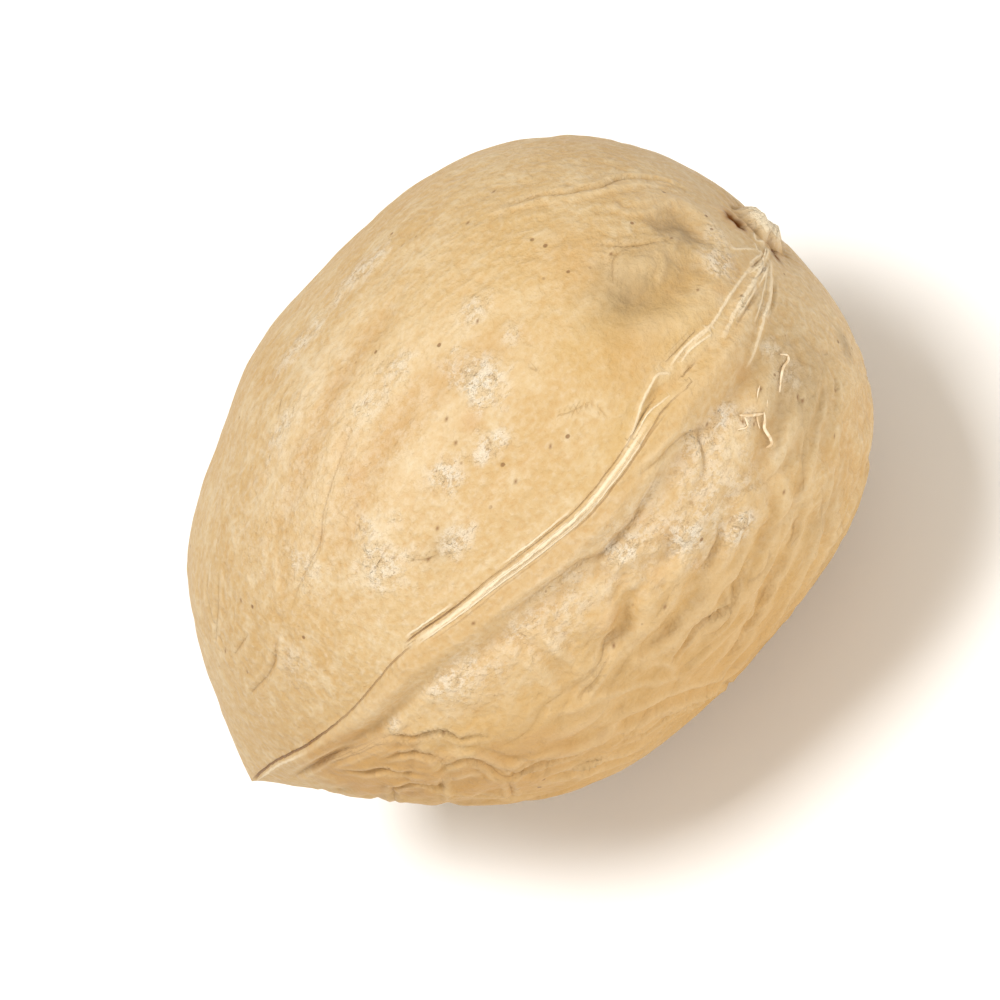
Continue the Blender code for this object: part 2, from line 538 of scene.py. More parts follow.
@dataclass(frozen=True)
class Lumps:
    """Broad unevenness of the whole shell, and furrows that run lengthwise, deeper on the lower cheek and back, with
    painted shade in the furrow valleys and on the low side.
    """

    lump_height: float = 0.15
    lump_size: float = 8.0
    dimple_height: float = 0.065
    dimple_size: float = 2.3
    furrow_depth: float = 0.24
    furrow_width: float = 2.5
    furrow_stretch: float = 3.2
    furrow_valley: float = 0.26
    furrow_level: float = 0.35
    bend: float = 0.9
    bend_size: float = 4.5
    calm_ends: float = 3.0
    calm_seam: float = 3.6
    upper_calm: float = 0.76
    valley_shade: float = 0.4
    low_side_shade: tuple[float, float] = (0.40, 0.99)
    low_shade_lean: float = 0.35
    low_shade_run: Run = (0.5, 7.0, 27.0, 41.0)
    low_shade_warm: float = 0.80
    low_shade_gold: float = 0.90

    def apply(self, sculpt: Sculpt) -> None:
        """Adds two sizes of layered noise, and the valleys of a third noise that is drawn out along the nut."""
        calm = 1.0 - sculpt.near_ends(self.calm_ends)
        near_seam = bell(sculpt.off_front(), self.calm_seam)
        lumps = Noise(11).layered(sculpt.base / self.lump_size, 2, 0.4)
        dimples = Noise(17).layered(sculpt.base / self.dimple_size, 2, 0.5)
        squeeze = np.array([1.0 / self.furrow_stretch, 1.0, 1.0]) / self.furrow_width
        bend = self.bend * Noise(12).at(sculpt.base / self.bend_size)[..., None]
        furrows = np.abs(Noise(13).at(sculpt.base * squeeze + bend))
        valleys = 1.0 - rise(furrows, 0.0, self.furrow_valley)
        seen_upper = rise(np.sin(sculpt.turn), -0.1, 0.45) * rise(np.cos(sculpt.turn), -0.5, 0.0)
        share = (1.0 - self.upper_calm * seen_upper) * calm * (1.0 - near_seam)
        sculpt.height += self.lump_height * lumps * calm + self.dimple_height * dimples * (1.0 - 0.6 * near_seam)
        sculpt.height += self.furrow_depth * (self.furrow_level - valleys) * share
        # Painted shade: the furrow valleys are darkened warm brown.
        sculpt.mark_tint(Tint.WARM_STAIN_AND_SHADE, self.valley_shade * valleys * share)
        self._low_side_shade(sculpt, lumps)

    def _low_side_shade(self, sculpt: Sculpt, lumps: Array) -> None:
        """Paints warm and gold shade on the low side, unevenly, as far as the lumps let it."""
        below = rise(-np.sin(sculpt.turn - self.low_shade_lean), *self.low_side_shade) * span(sculpt.along, *self.low_shade_run)
        below = below * np.clip(0.85 + 0.5 * lumps, 0.0, 1.0)
        sculpt.mark_tint(Tint.WARM_STAIN_AND_SHADE, self.low_shade_warm * below)
        sculpt.mark_tint(Tint.GOLD_AND_SHADE, self.low_shade_gold * below)


@dataclass(frozen=True)
class VeinNet:
    """The net of low veins and creases: borders of warped cells, clear on the lower cheek and back."""

    size: float = 3.3
    stretch: float = 2.7
    warp: float = 0.65
    line_width: float = 0.075
    depth: float = 0.12
    shoulder: float = 0.07
    patch_size: float = 6.0
    mark_tint: float = 0.22
    ink: float = 0.16
    ink_half_width: float = 0.05
    ink_reach: float = 0.6

    def apply(self, sculpt: Sculpt) -> None:
        """Sinks a line on each border of the cells and raises a soft shoulder beside it."""
        places = sculpt.base / self.size * np.array([1.0 / self.stretch, 1.0, 1.0])
        warp = np.stack([Noise(seed).layered(places * 1.3, 2) for seed in (21, 22, 23)], axis=-1)
        signed = Cells(24).edges(places + self.warp * warp)
        edge = np.abs(signed)
        line = bell(edge, self.line_width)
        shoulder = bell(edge - 2.4 * self.line_width, 1.7 * self.line_width)
        share = self._share(sculpt)
        sculpt.height += share * (self.shoulder * shoulder - self.depth * line)
        sculpt.mark_tint(Tint.GROOVE, self.mark_tint * share * line)
        sculpt.mark_tint(Tint.LIP, self.mark_tint * share * shoulder)
        sculpt.draw(Line.DARK, signed * self.size * self.ink_reach, self.ink_half_width, self.ink * share)

    def _share(self, sculpt: Sculpt) -> Array:
        """How clear the net is: patchy, faint on the upper cheek, at the tip's front and beside both seams.

        Args:
            sculpt: the shell.

        Returns:
            0 to 1 for each point.
        """
        sine, cosine = np.sin(sculpt.turn), np.cos(sculpt.turn)
        patchy = rise(Noise(25).layered(sculpt.base / self.patch_size, 2), -0.2, 0.2)
        upper_front = rise(sine, -0.2, 0.3) * rise(cosine, -0.75, -0.15)
        tip_front = bell(sculpt.along - 9.5, 4.5) * (cosine > 0.0)
        lower_front = rise(-sine, 0.0, 0.3) * rise(cosine, -0.1, 0.4)
        share = (1.0 - 0.9 * upper_front) * (0.25 + 0.75 * patchy)
        share = share * (1.0 - sculpt.near_ends(2.0)) * (1.0 - 0.8 * tip_front) * (1.0 - 0.4 * lower_front)
        return share * (1.0 - bell(sculpt.off_front(), 3.4)) * (1.0 - bell(sculpt.off_back(), 2.4))


@dataclass(frozen=True)
class FineWrinkles:
    """Fine lengthwise wrinkling and grain that the whole shell has."""

    height: float = 0.045
    size: float = 0.75
    stretch: float = 2.4
    bend: float = 0.6
    bend_size: float = 2.5
    patch_size: float = 4.0

    def apply(self, sculpt: Sculpt) -> None:
        """Adds fine noise drawn out along the nut, fading in and out over the surface."""
        squeeze = np.array([1.0 / self.stretch, 1.0, 1.0]) / self.size
        bend = self.bend * Noise(31).at(sculpt.base / self.bend_size)[..., None]
        grain = Noise(32).layered(sculpt.base * squeeze + bend, 2)
        patchy = 0.3 + 0.7 * rise(Noise(33).at(sculpt.base / self.patch_size), -0.2, 0.35)
        on_welt = bell(sculpt.off_front() + 0.8, 1.4)
        sculpt.height += self.height * grain * patchy * (1.0 - 0.6 * on_welt) * (1.0 - sculpt.near_ends(1.0))


@dataclass(frozen=True)
class SeamLine:
    """A thin line beside the front seam, at an offset towards the upper cheek.

    It runs over a span along the nut, and between the two places in weakens it loses as much as weakening says.
    """

    line: Line
    offset: float
    half_width: float
    strength: float
    run: Run
    weakening: float = 0.0
    weakens: tuple[float, float] = (0.0, 1.0)

    def share(self, along: Array) -> Array:
        """How strong the line is at a distance from the tip."""
        return (self.strength - self.weakening * rise(along, *self.weakens)) * span(along, *self.run)


# Dark cracks with a groove: at the tip on the seam itself, then above the lip, then below it.
SEAM_CRACKS = (
    SeamLine(Line.DARK, 0.0, 0.055, 1.0, (0.0, 0.8, 14.6, 16.0), 0.45, (6.5, 9.5)),
    SeamLine(Line.DARK, 0.34, 0.050, 0.85, (15.2, 15.8, 22.5, 25.0), 0.45, (18.5, 21.0)),
    SeamLine(Line.DARK, -0.36, 0.045, 0.50, (25.5, 28.0, 33.0, 35.5)),
    SeamLine(Line.DARK, 0.40, 0.042, 0.45, (22.0, 25.0, 31.5, 33.5)),
    SeamLine(Line.DARK, -0.40, 0.038, 0.25, (16.0, 18.0, 24.0, 27.0)),
)

# Lines of colour only: the lip's middle, the second lip in two parts, and the sliver beside the crack at the tip.
SEAM_COLOUR_LINES = (
    SeamLine(Line.DARK, -0.03, 0.035, 0.30, (20.5, 22.0, 27.0, 29.0)),
    SeamLine(Line.PALE, 0.60, 0.08, 0.9, (15.4, 16.2, 18.0, 19.2)),
    SeamLine(Line.PALE, 0.60, 0.08, 0.8, (22.0, 23.5, 26.0, 28.0)),
    SeamLine(Line.PALE, -0.22, 0.07, 0.6, (0.2, 1.0, 4.0, 6.0)),
)


@dataclass(frozen=True)
class FrontSeam:
    """The seam that faces up: a dark crack at the tip, then a pale raised lip with a fine groove beside it.

    A smooth welt lies below the line, and below that a trough.
    """

    lip_height: float = 0.15
    lip_half_width: float = 0.26
    lip_run: Run = (15.4, 17.2, 31.8, 34.5)
    lip_slimmest: float = 0.62
    lip_groove: float = 0.05
    lip_groove_run: Run = (21.0, 23.0, 27.0, 29.0)
    side_lip_height: float = 0.06
    side_lip_runs: tuple[Run, Run] = ((22.0, 23.5, 26.0, 28.0), (15.6, 16.6, 18.0, 19.0))
    sliver_run: Run = (0.4, 1.5, 6.0, 11.0)
    crack_depth: float = 0.05
    crack_width: float = 0.085
    crack_halo: float = 0.14
    crack_wander: float = 0.05
    crack_wander_size: float = 1.3
    welt_height: float = 0.40
    welt_width: float = 2.0
    welt_slimmest: float = 0.45
    welt_run: Run = (1.0, 6.0, 38.5, 42.5)
    trough_depth: float = 0.40
    trough_run: Run = (8.0, 20.0, 37.5, 41.5)
    tip_trough_depth: float = 0.16
    tip_trough_run: Run = (3.0, 7.0, 14.0, 19.0)
    upper_dip: float = 0.08
    upper_dip_run: Run = (14.0, 19.0, 35.0, 39.0)

    def apply(self, sculpt: Sculpt) -> None:
        """Adds each part as a function of the distance off the line and the distance from the tip."""
        off = sculpt.off_front()
        self._welt(sculpt, off, sculpt.along)
        self._lip(sculpt, off, sculpt.along)
        self._sliver(sculpt, off, sculpt.along)
        for thin in SEAM_COLOUR_LINES:
            sculpt.draw(thin.line, off - thin.offset, thin.half_width, thin.share(sculpt.along))
        self._cracks(sculpt, off, sculpt.along)

    def _welt(self, sculpt: Sculpt, off: Array, along: Array) -> None:
        """A rounded band below the line, then a trough that is deepest in the middle of the nut."""
        width = self.welt_width * (self.welt_slimmest + (1.0 - self.welt_slimmest) * rise(along, 2.0, 19.0))
        run = span(along, *self.welt_run)
        below = -off
        band = rise(below, -0.30, 0.55) * (1.0 - rise(below / width, 0.60, 1.35))
        trough = bell(below - width - 0.95, 0.95) * span(along, *self.trough_run)
        tip_trough = bell(below - width - 0.55, 0.75) * span(along, *self.tip_trough_run)
        sculpt.height += self.welt_height * band * run
        sculpt.height -= self.trough_depth * trough + self.tip_trough_depth * tip_trough
        sculpt.height -= self.upper_dip * bell(off - 1.3, 0.8) * span(along, *self.upper_dip_run)
        # Painted shade darkens the trough; the welt band's warmer colour is its own.
        sculpt.mark_tint(Tint.WARM_STAIN_AND_SHADE, 0.45 * trough)
        sculpt.mark_tint(Tint.WARM_STAIN_AND_SHADE, 0.30 * band * run)

    def _lip(self, sculpt: Sculpt, off: Array, along: Array) -> None:
        """A narrow raised line with two pale edges and a groove, and a lower one beside it in two places."""
        run = span(along, *self.lip_run)
        half = self.lip_half_width
        swell = self.lip_slimmest + (1.0 - self.lip_slimmest) * rise(along, 17.0, 24.0)
        plateau = 1.0 - rise(np.abs(off) / swell, 0.45 * half, 1.35 * half)
        groove = bell(off - 0.03, 0.07) * span(along, *self.lip_groove_run)
        sculpt.height += self.lip_height * plateau * run - self.lip_groove * groove
        sculpt.mark_tint(Tint.LIP, 0.55 * plateau * run)
        sculpt.draw(Line.PALE, off - 0.45 * half * swell, 0.12, 0.85 * run)
        sculpt.draw(Line.PALE, off + 0.75 * half * swell, 0.06, 0.75 * run)
        beside = bell(off - 0.62, 0.10) * sum(span(along, *part) for part in self.side_lip_runs)
        sculpt.height += self.side_lip_height * beside

    def _sliver(self, sculpt: Sculpt, off: Array, along: Array) -> None:
        """A thin pale raised sliver below the crack at the tip."""
        run = span(along, *self.sliver_run)
        sculpt.height += self.side_lip_height * bell(off + 0.26, 0.18) * run
        sculpt.mark_tint(Tint.LIP, 0.4 * bell(off + 0.24, 0.15) * run)

    def _cracks(self, sculpt: Sculpt, off: Array, along: Array) -> None:
        """A narrow groove with a crisp dark line in it for each crack, all with the same slight wander."""
        run = np.stack([along / self.crack_wander_size, 0.0 * along, 0.0 * along], axis=-1)
        wander = self.crack_wander * Noise(41).at(run)
        for crack in SEAM_CRACKS:
            gap = off - crack.offset - wander
            strength = crack.share(along)
            sculpt.height -= self.crack_depth * bell(gap, self.crack_width) * strength
            sculpt.mark_tint(Tint.WARM_STAIN_AND_SHADE, 0.5 * bell(gap, self.crack_halo) * strength)
            sculpt.draw(crack.line, gap, crack.half_width, strength)


@dataclass(frozen=True)
class BackSeam:
    """The seam on the hidden side: the same welt, a rounded double lip and a darker line between."""

    welt_height: float = 0.34
    lip_height: float = 0.2
    lip_wander: float = 0.7
    lip_wander_size: float = 4.0
    run: Run = (0.6, 5.0, 38.5, 42.8)
    trough_depth: float = 0.28
    trough_run: Run = (7.0, 15.0, 34.0, 40.0)
    upper_dip: float = 0.12
    upper_dip_run: Run = (8.0, 14.0, 34.0, 38.0)

    def apply(self, sculpt: Sculpt) -> None:
        """Adds each part as a function of the distance off the line."""
        off = sculpt.off_back()
        along = sculpt.along
        run = span(along, *self.run)
        lengthwise = np.stack([along / self.lip_wander_size, 0.0 * along, 0.0 * along], axis=-1)
        uneven = 1.0 + self.lip_wander * Noise(51).at(lengthwise)
        below = -off
        band = rise(below, -0.6, 0.5) * (1.0 - rise(below, 1.2, 2.7))
        trough = bell(below - 3.1, 1.0) * span(along, *self.trough_run)
        lip = bell(off - 0.28, 0.26) + 0.8 * bell(off + 0.38, 0.28)
        crack = bell(off + 0.04, 0.12)
        relief = self.welt_height * band + self.lip_height * lip * uneven - self.lip_height * crack
        sculpt.height += relief * run - self.trough_depth * trough
        sculpt.height -= self.upper_dip * bell(off - 1.6, 0.8) * span(along, *self.upper_dip_run)
        sculpt.mark_tint(Tint.LIP, 0.7 * lip * run)
        sculpt.mark_tint(Tint.GROOVE, 0.8 * crack * run)
        # Painted shade darkens the trough.
        sculpt.mark_tint(Tint.WARM_STAIN_AND_SHADE, 0.5 * trough)


def smooth_path(places: Places) -> Array:
    """A smooth curve through places: Catmull-Rom cubics, six steps to each stretch.

    Args:
        places: rows of (up, across) in the picture.

    Returns:
        The curve's points, one a row.
    """
    dots = np.array(places)
    dots = np.concatenate([2.0 * dots[:1] - dots[1:2], dots, 2.0 * dots[-1:] - dots[-2:-1]])
    steps = np.linspace(0.0, 1.0, 7)[:-1, None]
    runs = []
    for a, b, c, d in zip(dots[:-3], dots[1:-2], dots[2:-1], dots[3:]):
        cubic = 2.0 * b + (c - a) * steps + (2.0 * a - 5.0 * b + 4.0 * c - d) * steps**2
        runs.append((cubic + (3.0 * b - a - 3.0 * c + d) * steps**3) / 2.0)
    return np.concatenate(runs + [dots[-2:-1]])


@dataclass(frozen=True)
class Stroke:
    """A line drawn on the shell through a few places in the picture, with its width and height in millimetres."""

    mark: Mark
    width: float
    height: float
    path: Places
    reach: float = 4.0
    end_power: float = 0.4
    horizon: tuple[float, float] = (-0.12, 0.06)

    def apply(self, sculpt: Sculpt) -> None:
        """Adds the line within reach of it, thinner towards both its ends and gone past the picture's horizon."""
        line = sculpt.finder.on_shell(smooth_path(self.path))
        reach = self.reach * self.width
        close = np.all((sculpt.base > line.min(axis=0) - reach) & (sculpt.base < line.max(axis=0) + reach), axis=-1)
        if not close.any():
            return
        signed, share = distance_to_line(sculpt.base[close], sculpt.normals[close], line)
        gap = np.abs(signed)
        facing = rise(sculpt.normals[close] @ sculpt.finder.view.towards(), *self.horizon)
        body = np.clip(np.sin(math.pi * np.clip(share, 0.0, 1.0)), 0.0, 1.0) ** self.end_power * facing
        uneven = 0.85 + 0.5 * Noise(64).at(sculpt.base[close] / 1.6)
        core = bell(gap, self.width) * body * uneven
        sides = bell(gap - 2.0 * self.width, 0.9 * self.width) * body
        rule = STROKE_RULES[self.mark]
        sculpt.height[close] += self.height * (rule.core_lift * core + rule.side_lift * sides)
        # Core and side tints: on ridges, creases and furrows they are painted highlight and painted shade that follow
        # the relief.
        for tint, strength, part in ((rule.core_tint, rule.core_tint_share, core), (rule.side_tint, rule.side_tint_share, sides)):
            amount = np.zeros(close.shape)
            amount[close] = strength * part
            sculpt.mark_tint(tint, amount)
        if rule.line is not None:
            sculpt.draw(rule.line, signed, rule.line_share * self.width, rule.line_strength * body, close)


@dataclass(frozen=True)
class StrokeRule:
    """What one kind of line lifts and tints, on its core and along both its sides, and its thin line if any."""

    core_lift: float
    side_lift: float
    core_tint: Tint
    core_tint_share: float
    side_tint: Tint
    side_tint_share: float
    line: Line | None = None
    line_share: float = 0.0
    line_strength: float = 0.0


# On ridges, creases and furrows the pale lip tint on raised parts is painted highlight. The warm tint beside ridges and
# in furrow cores is painted shade, as are the groove tint and dark line in crease cores. Lips, cracks and the slot keep
# their own pale and dark colours.
STROKE_RULES = {
    Mark.RIDGE: StrokeRule(1.25, -0.35, Tint.LIP, 0.42, Tint.WARM_STAIN_AND_SHADE, 0.30),
    Mark.CREASE: StrokeRule(-1.45, 0.75, Tint.GROOVE, 0.26, Tint.LIP, 0.36, Line.DARK, 0.30, 0.26),
    Mark.FURROW: StrokeRule(-1.45, 0.60, Tint.WARM_STAIN_AND_SHADE, 0.62, Tint.LIP, 0.36),
    Mark.LIP: StrokeRule(1.0, -0.20, Tint.LIP, 0.6, Tint.GROOVE, 0.10, Line.PALE, 0.60, 0.7),
    Mark.CRACK: StrokeRule(-1.0, 0.10, Tint.GROOVE, 0.22, Tint.LIP, 0.20, Line.DARK, 0.45, 0.48),
    Mark.SLOT: StrokeRule(-1.0, 0.15, Tint.SCAR, 1.0, Tint.WARM_STAIN_AND_SHADE, 0.90, Line.DARK, 0.80, 1.0),
}


def distance_to_line(points: Array, normals: Array, line: Array) -> tuple[Array, Array]:
    """Least distance from each point to a line of straight pieces, and how far along the line that is.

    The distance is below 0 on the line's other side: its sign is that of the piece's way crossed with the way to
    the point, dotted with the surface's normal.

    Args:
        points: places, one a row.
        normals: the surface's outward normals there.
        line: the line's points, one a row.

    Returns:
        The signed distance, and the share of the line's length before the nearest place, 0 to 1.
    """
    starts, ways = line[:-1], np.diff(line, axis=0)
    lengths = np.maximum(np.linalg.norm(ways, axis=1), 1e-9)
    run = np.concatenate([[0.0], np.cumsum(lengths)])
    best = np.full(len(points), np.inf)
    side = np.ones(len(points))
    share = np.zeros(len(points))
    for start, way, length, before in zip(starts, ways, lengths, run):
        t = np.clip((points - start) @ way / length**2, 0.0, 1.0)
        gap = np.linalg.norm(points - start - t[:, None] * way, axis=1)
        turned = np.einsum("ij,ij->i", np.cross(way, points - start), normals)
        nearer = gap < best
        best = np.where(nearer, gap, best)
        side = np.where(nearer, np.where(turned < 0.0, -1.0, 1.0), side)
        share = np.where(nearer, (before + t * length) / run[-1], share)
    return best * side, share


def strokes(table: dict[Mark, tuple[tuple[float, float, Places], ...]]) -> tuple[Stroke, ...]:
    """A stroke for each row of width, height and path, listed by mark."""
    return tuple(Stroke(mark, *row) for mark, rows in table.items() for row in rows)


@dataclass(frozen=True)
class Patch:
    """A patch of a tint with a ragged edge, at a place in the picture; the tints are stains, wear and painted shade."""

    tint: Tint
    up: float
    across: float
    length: float
    width: float
    strength: float
    reach: float = 2.5
    edge: float = 1.35
    edge_size: float = 1.1
    tint_raggedness: float = 0.35
    worn_raggedness: float = 0.8
    worn_relief: float = 0.05
    worn_size: float = 0.6

    def apply(self, sculpt: Sculpt) -> None:
        """Tints inside an oval whose distance is roughened by noise, fully at its middle and less outwards."""
        worn = self.tint is Tint.SCUFF
        way = sculpt.base - sculpt.finder.on_shell(((self.up, self.across),))[0]
        lengthwise = way[..., 0] / self.length
        crosswise = np.hypot(way[..., 1], way[..., 2]) / self.width
        close = np.hypot(lengthwise, crosswise) < self.reach
        if not close.any():
            return
        spots = sculpt.base[close]
        raggedness = self.worn_raggedness if worn else self.tint_raggedness
        ragged = raggedness * Noise(61).layered(spots / self.edge_size, 3, 0.6)
        amount = np.zeros(close.shape)
        amount[close] = 1.0 - rise(np.hypot(lengthwise, crosswise)[close] + ragged, 0.0, self.edge)
        sculpt.mark_tint(self.tint, np.clip(self.strength * amount, 0.0, 1.0))
        if worn:
            rough = Noise(62).layered(spots / self.worn_size, 2, 0.6)
            sculpt.height[close] += self.worn_relief * rough * self.strength * amount[close]


def patches(table: dict[Tint, tuple[tuple[float, ...], ...]]) -> tuple[Patch, ...]:
    """A patch for each row of up, across, length, width and strength, listed by tint."""
    return tuple(Patch(tint, *row) for tint, rows in table.items() for row in rows)


@dataclass(frozen=True)
class Pit:
    """A small dark pit at a place in the picture."""

    up: float
    across: float
    radius: float
    depth: float = 0.015

    def apply(self, sculpt: Sculpt) -> None:
        """Sinks a round hollow about the nearest corner of the grid, and darkens it."""
        middle = sculpt.finder.on_shell(((self.up, self.across),))[0]
        away = np.linalg.norm(sculpt.base - middle, axis=-1)
        middle = sculpt.base[np.unravel_index(np.argmin(away), away.shape)]
        away = np.linalg.norm(sculpt.base - middle, axis=-1)
        sculpt.height -= self.depth * bell(away, 1.2 * self.radius)
        sculpt.mark_tint(Tint.GROOVE, 0.85 * bell(away, 0.85 * self.radius))


@dataclass(frozen=True)
class StemScar:
    """The stem end: a small rough button in a shallow dimple.

    Places are in the plane square to the long axis: towards the upper cheek and towards the front seam.
    """

    button_cheek: float = 0.55
    button_seam: float = -0.15
    button_radius: float = 1.72
    button_height: float = 0.66
    dimple_depth: float = 0.20
    dimple_at: float = 1.9
    dimple_width: float = 1.1
    foot_at: float = 1.12
    foot_width: float = 0.16
    foot_depth: float = 0.16
    foot_scar: float = 0.45
    brown_reach: float = 2.1
    ring_at: float = 3.0
    ring_width: float = 1.9
    wrinkle_depth: float = 0.08
    wrinkle_stain: float = 0.18
    ring_grey: float = 0.15

    def apply(self, sculpt: Sculpt) -> None:
        """Raises the button, roughens and streaks it, and wrinkles the dimple, all only at the stem end."""
        at_stem = rise(sculpt.along, 39.0, 42.0)
        to_seam = sculpt.base[..., 1] - self.button_seam
        to_cheek = sculpt.base[..., 2] - self.button_cheek
        away = np.hypot(to_cheek, to_seam)
        rough = Noise(71).layered(sculpt.base / 0.8, 2, 0.5)
        edge = away / self.button_radius + 0.35 * rough
        button = (1.0 - rise(edge, 0.62, 1.12)) * at_stem
        streaks = Noise(73).layered(np.stack([to_cheek / 0.25, to_seam / 0.9, 0.0 * away], axis=-1), 2)
        dimple = bell(away - self.dimple_at, self.dimple_width) * at_stem
        uneven = 0.9 + 0.55 * rough + 0.08 * streaks
        sculpt.height += self.button_height * button * uneven - self.dimple_depth * dimple
        nearest = np.maximum(away, 0.2)
        around = np.stack([2.5 * to_cheek / nearest, 2.5 * to_seam / nearest], axis=-1)
        rays = np.concatenate([around, away[..., None] / 5.0], axis=-1)
        self._foot(sculpt, bell(edge - self.foot_at, self.foot_width) * at_stem, rays)
        sculpt.mark_tint(Tint.WARM_STAIN_AND_SHADE, (0.75 - 0.45 * button) * bell(away, self.brown_reach) * at_stem)
        # The button is tinted with the lip colour, a pale line over its whole face and pale worn flecks: partly its own
        # cream colour and partly painted light on a face that turns from the key light.
        sculpt.mark_tint(Tint.LIP, button)
        sculpt.draw(Line.PALE, 1.0 - button, 0.5, button)
        sculpt.mark_tint(Tint.SCUFF, rise(0.4 * streaks + rough, -0.45, 0.05) * button)
        self._ring(sculpt, bell(away - self.ring_at, self.ring_width) * at_stem, rays, rough)

    def _foot(self, sculpt: Sculpt, foot: Array, rays: Array) -> None:
        """A groove round the button's foot, dark in some directions."""
        dark = rise(Noise(74).at(rays), -0.05, 0.35)
        sculpt.height -= self.foot_depth * foot * (0.4 + dark)
        sculpt.mark_tint(Tint.SCAR, self.foot_scar * foot * dark)

    def _ring(self, sculpt: Sculpt, ring: Array, rays: Array, rough: Array) -> None:
        """Fine wrinkles that run out from the button over a greyish ring."""
        wrinkles = 1.0 - rise(np.abs(Noise(72).at(rays * np.array([1.6, 1.6, 1.0]))), 0.0, 0.20)
        sculpt.height -= self.wrinkle_depth * wrinkles * ring
        sculpt.mark_tint(Tint.GROOVE, self.wrinkle_stain * wrinkles * ring)
        sculpt.mark_tint(Tint.GREY_AND_SHADE, self.ring_grey * ring * np.clip(0.5 + 1.5 * rough, 0.0, 1.0))


# Rows of strokes hold the width and the height in millimetres, then the path's places.

# The upper lip, the cracks and the fibre strands between the middle of the front seam and the stem.
SEAM_END_LINES = strokes({
    Mark.RIDGE: (
        (0.36, 0.12, ((41.7, 0.9), (40.5, 1.05), (38.6, 1.5), (36.7, 1.75), (34.4, 1.8), (32.5, 1.9))),
        (0.40, 0.13, ((41.6, 1.2), (40.2, 1.6), (38.4, 2.4), (36.5, 2.8), (34.3, 2.9), (32.0, 3.2))),
    ),
    Mark.LIP: (
        (0.16, 0.06, ((41.3, 0.6), (38.8, 0.85), (37.0, 1.2), (35.0, 1.15))),
        (0.13, 0.07, ((42.0, 0.6), (41.6, 0.5), (41.0, 0.45))),
        (0.13, 0.07, ((41.9, 0.9), (41.3, 0.95), (40.6, 0.8))),
        (0.13, 0.07, ((41.8, 1.25), (41.0, 1.5), (40.4, 1.65))),
        (0.15, 0.15, (
            (28.3, 2.5), (29.3, 2.2), (30.0, 1.9), (31.0, 1.4), (32.0, 1.1), (32.8, 0.9), (33.1, 1.1), (33.4, 1.5),
        )),
        (0.10, 0.06, ((29.3, 2.4), (30.0, 2.2), (31.0, 2.0), (31.8, 2.1), (32.5, 2.2))),
        (0.14, 0.10, ((33.7, 1.1), (34.5, 1.0), (35.3, 1.0), (36.2, 1.1), (36.9, 1.3))),
        (0.12, 0.07, ((34.2, 1.4), (35.0, 1.3), (35.8, 1.4), (36.5, 1.6))),
        (0.22, 0.12, ((36.6, 2.2), (37.6, 1.9), (38.6, 1.6), (39.6, 1.4), (40.4, 1.3), (41.1, 1.1), (41.7, 0.8))),
        (0.13, 0.07, ((38.2, 2.0), (39.2, 1.8), (40.2, 1.6))),
        (0.19, 0.16, (
            (36.6, 4.4), (37.4, 4.0), (38.4, 3.5), (39.4, 3.0), (40.3, 2.6), (41.1, 2.0), (41.7, 1.5), (42.1, 1.1),
        )),
        (0.12, 0.06, ((38.6, 2.9), (39.8, 2.4), (40.9, 1.8), (41.5, 1.3))),
        (0.12, 0.08, ((40.9, -0.9), (41.4, -0.4), (41.9, 0.1))),
    ),
    Mark.CRACK: (
        (0.09, 0.06, ((41.7, 0.72), (41.2, 0.70), (40.9, 0.62))),
        (0.09, 0.06, ((41.5, 1.15), (41.0, 1.25), (40.5, 1.25))),
        (0.10, 0.10, ((28.8, 2.4), (29.8, 2.1), (30.5, 1.9), (31.3, 1.8), (32.0, 1.7))),
        (0.10, 0.10, ((29.3, 2.9), (30.4, 2.7), (31.5, 2.5), (33.0, 2.5))),
        (0.10, 0.09, ((33.5, 2.1), (34.1, 2.0), (34.8, 2.0))),
        (0.09, 0.06, ((33.1, 2.6), (33.9, 2.5))),
        (0.09, 0.05, ((33.6, 0.8), (34.8, 0.8), (36.2, 0.8))),
    ),
    Mark.FURROW: (
        (0.32, 0.13, ((31.2, 1.6), (32.2, 1.6), (33.0, 1.9), (34.2, 1.7))),
    ),
    Mark.CREASE: (
        (0.14, 0.07, ((37.6, 2.3), (38.6, 2.1), (39.5, 1.9), (40.4, 1.7))),
        (0.12, 0.06, ((39.6, 3.2), (40.6, 2.7), (41.4, 2.1))),
    ),
})

